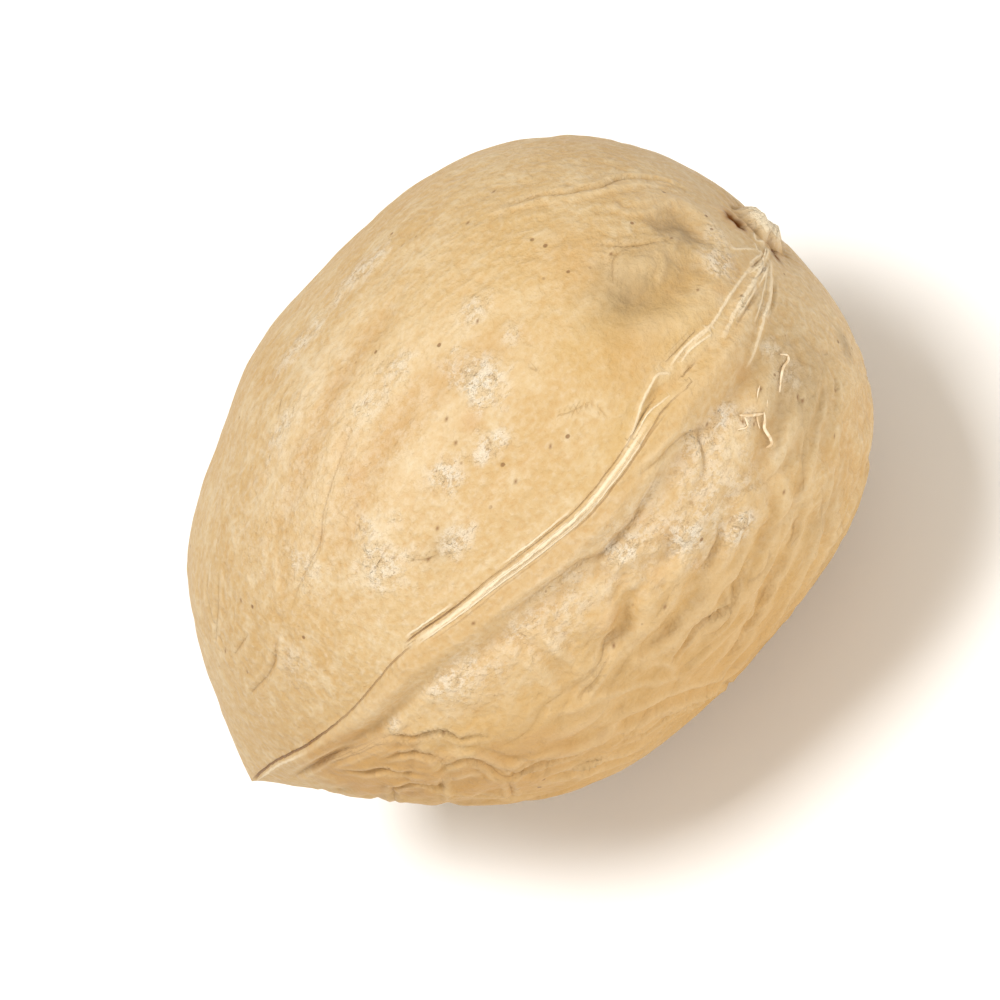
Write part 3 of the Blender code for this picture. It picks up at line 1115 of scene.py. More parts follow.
# Wrinkles over the upper cheek beside the stem, and round the hollow there, whose grey-brown is painted shade.
TOP_LINES = strokes({
    Mark.CREASE: (
        (0.18, 0.14, (
            (35.0, -11.6), (36.0, -10.7), (37.0, -9.7), (37.6, -9.4), (38.4, -8.7), (39.1, -8.4), (39.7, -8.1),
            (40.7, -7.1), (41.3, -6.3), (41.6, -5.6), (41.8, -4.6),
        )),
        (0.15, 0.10, ((35.5, -6.8), (36.0, -6.4), (36.7, -5.5), (37.6, -4.7), (38.5, -3.9), (38.9, -3.7))),
        (0.18, 0.07, ((36.8, -5.2), (36.0, -5.3), (35.4, -4.9), (34.8, -4.3))),
        (0.16, 0.10, ((27.0, -1.8), (27.9, -1.2), (28.9, -0.8), (29.2, -0.4), (29.2, 0.2), (29.1, 0.7))),
        (0.20, 0.13, ((28.0, 3.9), (29.0, 4.1), (30.6, 4.2), (31.8, 4.5), (32.6, 5.1), (33.1, 5.4))),
        (0.16, 0.10, ((32.1, 4.8), (31.7, 5.6), (31.2, 6.0))),
        (0.16, 0.10, ((39.8, 8.3), (39.3, 8.9))),
        (0.18, 0.10, ((37.6, 7.3), (37.2, 8.1))),
    ),
    Mark.RIDGE: (
        (0.24, 0.09, (
            (35.5, -10.7), (36.7, -9.5), (37.9, -8.7), (38.9, -8.0), (40.2, -7.1), (41.0, -6.0), (41.4, -5.0),
        )),
        (0.22, 0.09, ((38.2, -7.6), (38.2, -6.9), (38.7, -6.2), (39.5, -5.5), (40.2, -5.3), (40.9, -5.1))),
        (0.20, 0.13, ((38.0, -3.9), (37.7, -3.2), (37.0, -2.7), (36.5, -2.5))),
        (0.24, 0.08, ((36.7, -1.5), (37.4, -0.7), (38.1, -0.5), (38.8, -0.2), (39.3, 0.4))),
        (0.70, 0.13, ((35.7, -4.6), (36.7, -3.8), (36.7, -3.1))),
    ),
    Mark.FURROW: (
        (0.90, 0.30, ((38.7, -5.0), (40.0, -4.3), (40.3, -3.4), (39.9, -2.4))),
        (0.95, 0.34, ((34.0, -3.4), (35.2, -2.8), (36.5, -2.0), (38.4, -1.7), (39.3, -1.8))),
    ),
})

# Faint creases on the upper cheek.
UPPER_CHEEK_LINES = strokes({
    Mark.CREASE: (
        (0.16, 0.08, ((5.1, -7.1), (4.8, -6.5), (4.7, -6.0))),
        (0.16, 0.07, ((4.9, -5.7), (5.6, -5.8), (6.4, -5.9))),
        (0.18, 0.10, ((7.2, -4.5), (6.3, -3.8), (5.5, -3.5), (4.6, -3.5), (3.8, -3.5))),
        (0.15, 0.06, ((7.6, -10.2), (6.5, -9.4), (5.8, -8.4), (5.2, -7.3))),
        (0.16, 0.12, ((15.7, -2.1), (16.2, -1.7), (16.7, -1.3), (17.4, -1.1))),
        (0.16, 0.07, ((13.5, -3.2), (14.5, -3.2), (15.2, -3.4), (15.9, -3.4))),
        (0.14, 0.06, ((16.3, -6.3), (15.3, -6.3), (14.7, -6.0))),
        (0.18, 0.10, ((33.8, -11.9), (35.0, -11.2), (36.3, -10.5))),
        (0.16, 0.10, ((28.2, -4.7), (28.4, -4.0))),
        (0.15, 0.06, ((16.4, -12.9), (17.5, -13.7), (18.5, -13.9))),
        (0.18, 0.06, ((19.2, -9.6), (16.7, -8.5), (14.5, -7.4), (13.0, -6.4), (11.0, -5.8), (9.0, -4.9))),
        (0.16, 0.07, ((7.9, -9.6), (6.2, -8.2), (4.4, -6.8))),
    ),
    Mark.RIDGE: (
        (0.20, 0.06, ((7.7, -4.5), (6.6, -3.5), (5.7, -3.1))),
        (0.24, 0.10, ((33.0, -12.2), (33.9, -11.7), (34.7, -11.1), (35.6, -10.5), (36.2, -9.9))),
        (0.18, 0.08, ((28.8, -10.4), (29.5, -10.2), (30.4, -10.1))),
        (0.18, 0.06, ((21.7, -16.4), (22.4, -16.7), (23.0, -16.9))),
        (0.20, 0.07, ((11.0, -8.2), (9.9, -6.8), (9.0, -5.8))),
        (0.14, 0.11, ((19.5, -1.1), (18.2, -1.1), (17.8, -0.5), (18.1, 0.0))),
    ),
    Mark.FURROW: (
        (0.50, 0.08, ((23.4, -8.7), (22.2, -8.2), (21.3, -7.7))),
        (0.50, 0.07, ((19.0, -9.7), (17.9, -9.0), (16.8, -8.2))),
        (0.90, 0.08, ((26.0, -12.5), (21.0, -12.0), (16.0, -10.3), (11.5, -8.4))),
        (1.10, 0.07, ((30.0, -6.0), (25.0, -7.6), (19.0, -7.4), (13.0, -5.2))),
    ),
})

# The net of creases on the lower cheek near the tip.
LOWER_TIP_LINES = strokes({
    Mark.CREASE: (
        (0.20, 0.13, ((1.9, 1.6), (3.3, 1.9), (4.6, 2.3), (5.9, 3.0), (7.3, 3.6))),
        (0.18, 0.09, ((4.0, 2.5), (5.3, 3.1), (6.7, 3.7), (7.5, 4.1))),
        (0.18, 0.19, (
            (7.2, 3.6), (7.9, 4.0), (8.5, 4.8), (9.4, 5.4), (9.9, 5.8), (10.2, 6.4), (10.3, 6.9), (10.9, 7.2),
            (11.7, 7.9),
        )),
        (0.18, 0.12, ((6.4, 4.5), (7.3, 5.0), (8.2, 5.8), (8.7, 6.7), (8.5, 7.4))),
        (0.18, 0.17, (
            (8.0, 7.2), (8.9, 7.5), (9.7, 7.9), (10.2, 8.9), (10.3, 9.7), (10.6, 10.4), (11.1, 10.6), (12.0, 10.9),
            (13.2, 11.7),
        )),
        (0.16, 0.14, ((8.1, 7.5), (7.8, 7.9), (7.4, 8.0), (6.8, 7.1), (5.9, 6.3), (5.4, 6.2), (5.0, 6.8))),
        (0.16, 0.13, ((10.5, 10.5), (10.2, 11.0), (9.8, 11.5))),
        (0.18, 0.10, ((4.2, 3.2), (4.8, 4.0), (5.9, 4.9), (6.7, 6.0), (7.6, 6.8))),
        (0.22, 0.13, ((7.1, 8.2), (8.5, 9.9), (9.9, 11.5), (11.2, 12.6))),
    ),
    Mark.RIDGE: (
        (0.30, 0.12, ((8.4, 7.2), (9.4, 7.4), (10.3, 8.0), (10.8, 9.2))),
        (0.30, 0.09, ((9.7, 9.3), (9.0, 8.6), (8.1, 8.2))),
        (0.28, 0.17, (
            (8.0, 6.4), (9.0, 6.9), (9.9, 7.4), (10.5, 8.4), (10.7, 9.3), (11.1, 10.0), (12.2, 10.5), (13.4, 11.2),
            (14.8, 12.2),
        )),
        (0.22, 0.12, ((7.9, 7.1), (7.8, 8.2), (7.1, 9.0))),
    ),
    Mark.FURROW: (
        (0.50, 0.14, ((11.0, 3.1), (9.5, 3.0), (8.0, 2.9), (6.4, 2.5), (4.6, 1.8))),
    ),
})

# Furrows and ribs of the lower cheek.
LOWER_CHEEK_LINES = strokes({
    Mark.FURROW: (
        (0.45, 0.15, ((33.1, 7.8), (32.7, 9.5), (31.7, 10.9), (29.4, 11.9), (26.7, 12.5), (23.6, 12.4), (22.1, 12.9))),
        (0.42, 0.16, ((34.5, 9.7), (33.2, 11.5), (31.2, 12.9), (29.0, 13.6), (26.4, 14.4), (24.2, 14.8), (21.8, 15.1))),
        (0.4, 0.14, ((31.0, 8.0), (30.3, 9.1), (29.0, 9.7), (27.7, 10.5), (26.5, 10.6))),
        (0.60, 0.29, ((23.0, 7.9), (22.3, 8.7), (21.4, 9.2), (20.6, 9.4), (19.8, 9.0), (19.1, 8.5))),
        (0.50, 0.26, ((20.7, 10.5), (21.4, 11.0), (22.3, 11.1), (22.9, 11.1), (23.9, 10.8))),
        (0.50, 0.23, ((26.4, 11.0), (25.8, 11.3), (24.9, 11.3))),
        (0.50, 0.23, ((28.2, 12.2), (27.6, 12.3), (26.7, 12.1), (25.9, 12.3))),
        (0.45, 0.23, ((31.1, 12.7), (30.1, 13.2), (29.1, 13.3), (28.3, 13.5), (27.2, 14.1))),
        (0.50, 0.26, ((33.9, 13.2), (33.1, 14.1), (32.0, 14.7), (31.0, 14.9), (30.2, 15.2), (29.2, 15.5))),
        (0.42, 0.26, (
            (15.2, 12.2), (16.6, 12.7), (17.7, 13.3), (18.9, 13.8), (20.3, 14.4), (21.6, 15.1), (22.7, 15.5),
            (24.1, 15.5), (25.4, 15.5), (26.5, 15.4),
        )),
        (0.40, 0.23, ((11.6, 11.8), (13.0, 12.8), (14.3, 13.7), (15.6, 14.5), (17.0, 15.1))),
        (0.50, 0.20, ((26.6, 7.5), (26.2, 8.2), (25.5, 8.3), (24.7, 7.9), (24.0, 8.0))),
        (0.45, 0.17, ((16.2, 4.6), (16.9, 6.3), (17.0, 8.0), (16.8, 9.7))),
        (0.55, 0.17, ((22.4, 5.4), (22.9, 6.8), (23.0, 7.9))),
        (0.55, 0.17, ((18.1, 12.3), (16.2, 12.1), (14.5, 11.5), (13.2, 10.7))),
        (0.55, 0.19, ((29.6, 9.0), (28.5, 9.6), (27.4, 10.1), (26.0, 10.3), (24.7, 11.0), (22.6, 11.2))),
        (0.70, 0.14, ((38.0, 6.6), (36.0, 7.4), (33.5, 8.2), (31.5, 8.9))),
    ),
    Mark.CREASE: (
        (0.2, 0.12, ((35.0, 11.6), (33.8, 13.1), (31.7, 14.4), (29.2, 15.2), (27.0, 15.7), (24.7, 15.7))),
        (0.2, 0.14, ((17.5, 9.8), (19.0, 9.6), (20.0, 9.3), (20.9, 9.4))),
        (0.18, 0.12, ((29.4, 11.6), (27.4, 12.3), (25.4, 13.3), (23.8, 13.0))),
        (0.24, 0.14, (
            (16.6, 3.7), (17.8, 4.1), (19.6, 4.4), (21.0, 4.7), (22.1, 4.9), (23.0, 5.5), (23.7, 5.7), (25.1, 5.6),
            (26.1, 5.6), (26.9, 5.3), (27.9, 5.1), (29.0, 4.7), (29.8, 4.3),
        )),
        (0.20, 0.17, ((19.8, 9.7), (18.7, 10.0), (17.5, 10.2), (16.5, 10.2))),
        (0.18, 0.19, ((21.6, 12.7), (22.6, 12.5), (23.5, 12.4), (24.7, 12.4), (25.5, 12.6), (26.5, 13.0))),
        (0.18, 0.14, ((29.4, 9.0), (28.6, 9.8), (27.4, 10.3), (26.6, 10.3))),
        (0.20, 0.14, ((30.2, 12.1), (29.5, 12.6), (28.7, 12.7), (27.8, 12.6))),
        (0.18, 0.13, ((32.8, 12.1), (31.8, 12.8), (30.7, 13.1))),
        (0.20, 0.14, ((34.7, 14.1), (33.7, 14.7), (32.5, 15.0), (31.3, 15.5))),
        (0.20, 0.16, (
            (15.8, 13.5), (17.0, 14.0), (17.7, 14.5), (19.0, 14.7), (20.5, 15.2), (21.9, 15.7), (23.5, 16.1),
        )),
        (0.20, 0.16, ((10.7, 10.3), (11.8, 10.9), (13.0, 11.6), (13.9, 12.2), (14.8, 12.5), (15.6, 12.9))),
        (0.16, 0.16, ((13.4, 12.7), (14.2, 13.1), (15.2, 13.8))),
        (0.22, 0.14, ((26.3, 12.9), (25.2, 12.6), (24.1, 12.5))),
        (0.20, 0.12, ((28.8, 13.7), (27.4, 14.2), (26.0, 14.5), (24.0, 14.8))),
        (0.18, 0.10, ((32.6, 4.5), (31.9, 5.2), (31.4, 6.0), (30.4, 6.8))),
    ),
    Mark.RIDGE: (
        (0.24, 0.12, (
            (14.3, 9.4), (15.2, 9.8), (16.4, 10.5), (17.4, 11.0), (18.3, 11.6), (19.4, 12.2), (20.4, 12.9),
            (21.2, 13.5), (21.6, 14.3),
        )),
        (0.30, 0.13, ((22.2, 13.5), (23.4, 13.8), (24.9, 13.9), (25.8, 13.9), (26.9, 14.1))),
        (0.26, 0.12, ((20.3, 11.5), (21.4, 12.4), (21.5, 13.3))),
        (0.22, 0.10, ((38.9, 8.5), (36.7, 9.9), (34.5, 11.0), (32.3, 11.9), (30.4, 12.6))),
        (0.25, 0.12, ((37.3, 11.0), (34.8, 12.6), (32.9, 13.7), (31.0, 14.5))),
    ),
})

# Places worn pale: up, across, length, width and strength.
WORN_PATCHES = patches({
    Tint.SCUFF: (
        (17.0, -9.5, 12.0, 9.0, 0.22), (39.8, -0.8, 1.9, 1.3, 0.75), (41.2, 1.2, 1.1, 0.6, 0.9),
        (40.2, 1.5, 1.4, 0.6, 0.7), (38.8, 1.8, 1.5, 0.6, 0.5), (39.6, 2.9, 1.6, 0.5, 0.6), (38.2, 4.6, 1.8, 0.7, 0.6),
        (34.6, 6.3, 1.2, 0.8, 0.6), (40.9, -1.7, 1.5, 1.0, 0.55), (25.8, 6.6, 4.0, 2.4, 0.42),
        (29.5, 8.2, 4.2, 3.0, 0.50), (31.8, 5.6, 3.6, 1.8, 0.48), (19.5, 6.0, 4.5, 2.2, 0.36),
        (13.5, 5.0, 4.5, 1.8, 0.36), (38.0, 6.2, 2.2, 1.4, 0.40), (25.8, -6.2, 1.6, 2.3, 1.0),
        (23.4, -3.3, 1.4, 1.0, 0.9), (23.0, -9.9, 1.2, 1.2, 0.8), (20.8, -3.8, 1.4, 1.3, 0.8),
        (20.8, -9.6, 2.2, 1.2, 0.7), (18.5, -0.9, 1.4, 0.9, 0.8), (14.9, -3.6, 2.2, 2.4, 0.75),
        (16.4, -12.3, 3.2, 1.3, 0.6), (20.5, -15.0, 2.6, 1.2, 0.6), (25.3, -15.3, 3.0, 1.2, 0.6),
        (28.5, -9.0, 1.3, 1.0, 0.6), (29.0, -6.6, 0.9, 0.8, 0.5), (11.5, -6.2, 1.6, 1.8, 0.5),
        (7.0, -3.0, 1.4, 1.6, 0.4), (24.5, 6.5, 1.5, 1.2, 0.9), (27.8, 8.4, 2.0, 1.6, 1.0), (29.8, 10.1, 1.9, 1.0, 1.0),
        (33.7, 5.4, 1.7, 0.7, 0.9), (31.5, 6.6, 1.5, 1.2, 0.5), (12.5, 4.2, 2.6, 1.1, 0.7), (17.2, 5.4, 2.4, 1.2, 0.5),
        (8.3, 3.6, 0.8, 0.5, 0.9),
    ),
})

# Stains and painted shade, in the same order of values.
STAIN_AND_SHADE_PATCHES = patches({
    # The first two warm patches are painted shade at the tip's lower side and along the low rim beside it.
    Tint.WARM_STAIN_AND_SHADE: (
        (5.6, 4.8, 8.5, 4.4, 2.5), (11.0, 10.5, 7.5, 4.0, 2.1), (42.4, -2.0, 1.6, 1.2, 1.8), (42.9, 0.9, 1.2, 0.9, 1.8),
        (40.2, -0.2, 1.6, 1.0, 0.4), (23.9, -4.9, 1.0, 0.8, 1.0), (17.4, -7.5, 1.0, 1.0, 0.9),
        (13.3, -6.6, 0.9, 0.9, 0.7), (26.9, 7.5, 1.3, 1.1, 0.9), (26.7, 9.8, 0.8, 0.7, 1.0), (24.7, 8.6, 0.8, 0.9, 0.8),
        (26.3, 5.9, 1.4, 0.6, 0.9), (21.2, 8.4, 1.6, 1.1, 0.9), (22.6, 12.6, 2.4, 0.8, 0.8), (12.2, 6.4, 0.8, 0.8, 0.6),
        (36.3, 4.4, 1.2, 0.9, 0.9), (33.0, -1.0, 3.4, 2.6, 0.5), (34.5, -6.5, 3.0, 3.4, 0.4),
        (38.6, 0.4, 1.6, 0.8, 0.7),
    ),
    Tint.SCAR: (
        (42.45, -1.95, 1.5, 0.80, 2.2), (42.4, -1.4, 1.5, 0.55, 1.8), (42.55, 1.3, 1.5, 0.55, 0.9),
    ),
    # The first gold patch is painted shade at the tip's lower side.
    Tint.GOLD_AND_SHADE: (
        (5.5, 4.5, 6.0, 4.5, 1.0), (14.0, 9.0, 8.0, 5.0, 0.3), (30.0, -8.0, 12.0, 9.0, 0.35),
        (35.0, -2.0, 9.0, 5.0, 0.85), (31.5, 2.0, 9.0, 3.0, 0.65), (36.0, 9.0, 7.0, 5.0, 0.20),
    ),
    # Grey patches paint grey-brown shade into the hollows beside the stem and onto the darker lower side.
    Tint.GREY_AND_SHADE: (
        (35.0, -3.4, 3.2, 2.7, 1.0), (38.8, -1.6, 2.0, 1.1, 0.45), (39.7, -3.8, 2.6, 2.1, 1.0),
        (37.4, -3.4, 4.5, 3.0, 0.50), (41.6, 7.6, 0.9, 1.2, 1.0), (38.0, 7.0, 4.5, 4.5, 0.75),
        (33.5, 13.5, 4.0, 2.0, 0.45), (17.6, -1.2, 1.6, 0.9, 0.6),
    ),
})

# Pits: up, across, radius, and the depth of the one that is deeper.
PITS = tuple(Pit(*row) for row in (
    (7.5, -7.5, 0.18), (4.8, -4.5, 0.14), (4.7, -6.3, 0.14), (38.9, -3.7, 0.15), (36.0, -5.6, 0.14),
    (34.1, -13.0, 0.16), (32.0, -12.7, 0.15), (28.2, -8.4, 0.14), (37.9, -0.7, 0.14), (22.9, -6.0, 0.15),
    (22.3, -4.7, 0.17), (23.0, -0.8, 0.16), (25.9, -0.6, 0.13), (18.2, -2.1, 0.15), (16.6, -1.3, 0.18),
    (15.8, 2.9, 0.15), (39.3, 8.8, 0.17), (37.5, 7.47, 0.20), (37.44, 7.94, 0.16), (23.6, 10.1, 0.15),
    (20.1, 9.7, 0.15), (34.16, 6.27, 0.20, 0.12), (34.44, 6.76, 0.14), (36.2, 5.75, 0.12), (9.9, 6.0, 0.16),
    (33.0, 10.4, 0.14), (37.3, 10.5, 0.12), (32.8, 5.0, 0.15),
))

# The dark slot and cracks at the foot of the stem's button.
SCAR_MARKS = strokes({
    Mark.FURROW: (
        (0.45, 0.14, ((42.6, -2.5), (42.5, -1.8), (42.4, -1.1))),
    ),
    Mark.SLOT: (
        (0.36, 0.12, ((42.4, -2.3), (42.52, -2.0), (42.52, -1.6), (42.42, -1.15))),
        (0.20, 0.24, ((43.26, 0.81), (42.9, 0.85), (42.6, 1.1))),
    ),
    Mark.LIP: (
        (0.16, 0.16, ((42.7, -0.6), (42.4, -0.3), (42.45, 0.0), (42.75, 0.2))),
        (0.14, 0.14, ((42.2, -0.2), (41.95, 0.2), (42.1, 0.6))),
        (0.13, 0.12, ((42.5, 0.65), (42.15, 0.8), (41.8, 0.95))),
    ),
})


class Graph:
    """A short hand for building a material's nodes."""

    # The colour sockets of a Mix node, which has others of the same names.
    COLOUR_A, COLOUR_B, COLOUR_RESULT = 6, 7, 2

    def __init__(self, name: str) -> None:
        """Starts a material with one Principled shader."""
        self.material = bpy.data.materials.new(name)
        self.material.use_nodes = True
        self.nodes = self.material.node_tree.nodes
        self.links = self.material.node_tree.links
        self.shader = self.nodes["Principled BSDF"]

    def _set(self, socket: Socket, value: object) -> None:
        """Links a socket to another, or sets its own value."""
        if isinstance(value, Socket):
            self.links.new(value, socket)
        else:
            socket.default_value = value

    def shade(self, name: str, value: object) -> None:
        """Sets or links one of the shader's own sockets."""
        self._set(self.shader.inputs[name], value)

    def place(self, scale: Scale) -> Socket:
        """Object coordinates times a scale for each axis."""
        source = self.nodes.new("ShaderNodeTexCoord")
        mapping = self.nodes.new("ShaderNodeMapping")
        mapping.inputs["Scale"].default_value = scale
        self.links.new(source.outputs["Object"], mapping.inputs["Vector"])
        return mapping.outputs["Vector"]

    def noise(self, scale: Scale, detail: float, roughness: float = 0.5) -> Socket:
        """Noise between 0 and 1, with about as many cycles to a metre as the scale says."""
        node = self.nodes.new("ShaderNodeTexNoise")
        node.inputs["Scale"].default_value = 1.0
        node.inputs["Detail"].default_value = detail
        node.inputs["Roughness"].default_value = roughness
        self.links.new(self.place(scale), node.inputs["Vector"])
        return node.outputs["Fac"]

    def dots(self, scale: Scale) -> Socket:
        """Distance to the nearest of scattered centres, with as many to a metre as the scale says."""
        node = self.nodes.new("ShaderNodeTexVoronoi")
        node.inputs["Scale"].default_value = 1.0
        self.links.new(self.place(scale), node.inputs["Vector"])
        return node.outputs["Distance"]

    def attribute(self, name: str) -> Socket:
        """A value kept at each point of the shell."""
        node = self.nodes.new("ShaderNodeAttribute")
        node.attribute_name = name
        return node.outputs["Fac"]

    def tint(self, tint: Tint) -> Socket:
        """The strength of a tint on the shell."""
        return self.attribute(tint.value)

    def line(self, line: Line, rough: Socket, edge: float = 0.35) -> Socket:
        """How much of a thin line covers a place: 1 within its half-width, with an edge roughened by a noise."""
        shifted = self.math("ADD", self.attribute(line.value), self.ramp(rough, 0.3, 0.7, (-edge, edge)))
        near = self.ramp(self.math("ABSOLUTE", shifted, 0.0), 1.25, 0.45)
        return self.math("MULTIPLY", near, self.attribute(line.strength_name()))

    def ramp(
        self, value: Socket, low: float, high: float, out: tuple[float, float] = (0.0, 1.0)
    ) -> Socket:
        """The value's stretch from low to high spread smoothly over the out pair."""
        node = self.nodes.new("ShaderNodeMapRange")
        node.interpolation_type = "SMOOTHSTEP"
        for name, number in zip(("From Min", "From Max", "To Min", "To Max"), (low, high, *out)):
            node.inputs[name].default_value = number
        self.links.new(value, node.inputs["Value"])
        return node.outputs["Result"]

    def math(self, operation: str, first: object, second: object) -> Socket:
        """A sum on two values."""
        node = self.nodes.new("ShaderNodeMath")
        node.operation = operation
        self._set(node.inputs[0], first)
        self._set(node.inputs[1], second)
        return node.outputs["Value"]

    def mix(self, factor: object, first: object, second: object) -> Socket:
        """Two colours mixed by a factor."""
        node = self.nodes.new("ShaderNodeMix")
        node.data_type = "RGBA"
        self._set(node.inputs["Factor"], factor)
        self._set(node.inputs[self.COLOUR_A], first)
        self._set(node.inputs[self.COLOUR_B], second)
        return node.outputs[self.COLOUR_RESULT]

    def bump(self, height: Socket, distance: float, normal: object = None) -> Socket:
        """A normal tilted by a height, whose full range stands for the distance."""
        node = self.nodes.new("ShaderNodeBump")
        node.inputs["Distance"].default_value = distance
        self.links.new(height, node.inputs["Height"])
        if normal is not None:
            self.links.new(normal, node.inputs["Normal"])
        return node.outputs["Normal"]


@dataclass(frozen=True)
class ShellFinish:
    """Matte dry shell: warm tan, mottled paler and warmer, with pale worn patches and brown grooves, and with painted
    shade and painted highlight laid on by the tints.
    """

    tan: Colour = (0.546, 0.390, 0.198, 1.0)
    honey: Colour = (0.512, 0.343, 0.152, 1.0)
    cream: Colour = (0.605, 0.478, 0.294, 1.0)
    worn: Colour = (0.725, 0.645, 0.515, 1.0)
    # The lip colour is partly painted highlight on ridges and beside creases and furrows. The rim colour is partly
    # painted light over the stem's button. The warm, gold and grey colours are partly painted shade in furrows, hollows
    # and on the low side.
    lip: Colour = (0.700, 0.562, 0.360, 1.0)
    rim: Colour = (0.800, 0.690, 0.500, 1.0)
    warm: Colour = (0.460, 0.252, 0.078, 1.0)
    grey: Colour = (0.300, 0.210, 0.108, 1.0)
    gold: Colour = (0.500, 0.318, 0.098, 1.0)
    speck: Colour = (0.300, 0.180, 0.085, 1.0)
    crack: Colour = (0.215, 0.105, 0.038, 1.0)
    scar: Colour = (0.130, 0.040, 0.008, 1.0)
    broad_scale: Scale = (110.0, 140.0, 140.0)
    pore_area_scale: Scale = (300.0, 330.0, 330.0)
    mottle_scale: Scale = (420.0, 560.0, 560.0)
    streak_scale: Scale = (420.0, 1000.0, 1000.0)
    pore_scale: Scale = (620.0, 760.0, 760.0)
    grain_scale: Scale = (1300.0, 1450.0, 1450.0)
    fleck_scale: Scale = (1700.0, 2100.0, 2100.0)
    crumb_scale: Scale = (2300.0, 2600.0, 2600.0)
    fine_scale: Scale = (2600.0, 2900.0, 2900.0)
    roughness: tuple[float, float] = (0.52, 0.68)
    specular: float = 0.3
    grain_height: float = 0.00022
    worn_height: float = 0.00028
    pore_height: float = 0.00004
    line_height: float = 0.00007

    def material(self) -> bpy.types.Material:
        """Builds the nodes: the colour first, from broad to fine, then the gloss and the fine bumps.

        Returns:
            The material.
        """
        graph = Graph("walnut_shell")
        mottle = graph.noise(self.mottle_scale, 4.0, 0.6)
        flecks = graph.noise(self.fleck_scale, 4.0, 0.65)
        pores = self._pores(graph)
        dark = graph.line(Line.DARK, flecks)
        pale = graph.line(Line.PALE, flecks)
        colour = self._tinted(graph, self._mottled(graph, mottle, flecks), flecks)
        # Pale lines over the stem's button are partly painted light; the dark lines and groove tint in creases are
        # partly painted shade.
        layers = (
            (graph.math("MULTIPLY", pores, 0.8), self.crack),
            (graph.ramp(graph.tint(Tint.GROOVE), 0.10, 1.0, (0.0, 0.92)), self.crack),
            (graph.math("MULTIPLY", pale, 0.8), self.rim),
            (graph.math("MULTIPLY", dark, 0.85), self.crack),
            (graph.tint(Tint.SCAR), self.scar),
        )
        for amount, over in layers:
            colour = graph.mix(amount, colour, over)
        graph.shade("Base Color", colour)
        graph.shade("Roughness", graph.ramp(mottle, 0.3, 0.7, self.roughness))
        graph.shade("Specular IOR Level", graph.ramp(graph.tint(Tint.SCAR), 0.2, 0.8, (self.specular, 0.0)))
        self._bumps(graph, pores, graph.math("SUBTRACT", graph.math("MULTIPLY", pale, 0.6), dark))
        return graph.material

    def _mottled(self, graph: Graph, mottle: Socket, flecks: Socket) -> Socket:
        """The clean shell's colour: broad patches, blotches, faint lengthwise streaks and a fine grain.

        Each layer is a noise, the two values between which it grows, its full share and its colour.

        Args:
            graph: the material's nodes.
            mottle: the noise of the blotches.
            flecks: the noise of the grain.

        Returns:
            The colour.
        """
        broad = graph.noise(self.broad_scale, 3.0)
        streak = graph.noise(self.streak_scale, 2.0)
        fine = graph.noise(self.fine_scale, 1.0)
        layers = (
            (broad, 0.38, 0.66, 1.0, self.honey),
            (mottle, 0.46, 0.68, 0.75, self.cream),
            (streak, 0.50, 0.75, 0.28, self.cream),
            (streak, 0.46, 0.25, 0.28, self.honey),
            (flecks, 0.54, 0.70, 0.15, self.worn),
            (flecks, 0.42, 0.30, 0.30, self.warm),
            (fine, 0.50, 0.70, 0.14, self.worn),
            (fine, 0.50, 0.30, 0.26, self.warm),
        )
        colour = self.tan
        for value, low, high, share, over in layers:
            colour = graph.mix(graph.ramp(value, low, high, (0.0, share)), colour, over)
        return colour

    def _tinted(self, graph: Graph, colour: object, flecks: Socket) -> Socket:
        """The colour with gold, warm, grey, worn and lip places over it; worn places also have dark specks. The gold,
        warm and grey places are partly painted shade and the lip places partly painted highlight.

        Args:
            graph: the material's nodes.
            colour: the clean shell's colour.
            flecks: the noise that breaks up the grey and worn places.

        Returns:
            The colour.
        """
        crumbs = graph.noise(self.crumb_scale, 3.0, 0.6)
        layers = (
            (Tint.GOLD_AND_SHADE, 0.72, self.gold),
            (Tint.WARM_STAIN_AND_SHADE, 0.70, self.warm),
            (Tint.GREY_AND_SHADE, graph.ramp(flecks, 0.3, 0.7, (0.78, 0.54)), self.grey),
            (Tint.SCUFF, graph.ramp(flecks, 0.45, 0.55, (0.26, 0.90)), self.worn),
            (Tint.SCUFF, graph.ramp(crumbs, 0.41, 0.33, (0.0, 0.70)), self.speck),
            (Tint.LIP, 0.75, self.lip),
        )
        for tint, share, over in layers:
            colour = graph.mix(graph.math("MULTIPLY", graph.tint(tint), share), colour, over)
        return colour

    def _pores(self, graph: Graph) -> Socket:
        """Tiny scattered dark pits, in only some places."""
        near = graph.ramp(graph.dots(self.pore_scale), 0.11, 0.05)
        return graph.math("MULTIPLY", near, graph.ramp(graph.noise(self.pore_area_scale, 2.0), 0.52, 0.60))

    def _bumps(self, graph: Graph, pores: Socket, lines: Socket) -> None:
        """The skin's fine relief: an uneven grain, rough worn places, the pores and the thin lines."""
        grain = graph.noise(self.grain_scale, 3.0, 0.55)
        coarse = graph.noise(self.fine_scale, 3.0, 0.7)
        skin = graph.bump(grain, self.grain_height)
        skin = graph.bump(graph.math("MULTIPLY", graph.tint(Tint.SCUFF), coarse), self.worn_height, skin)
        skin = graph.bump(graph.math("MULTIPLY", pores, -1.0), self.pore_height, skin)
        graph.shade("Normal", graph.bump(lines, self.line_height, skin))


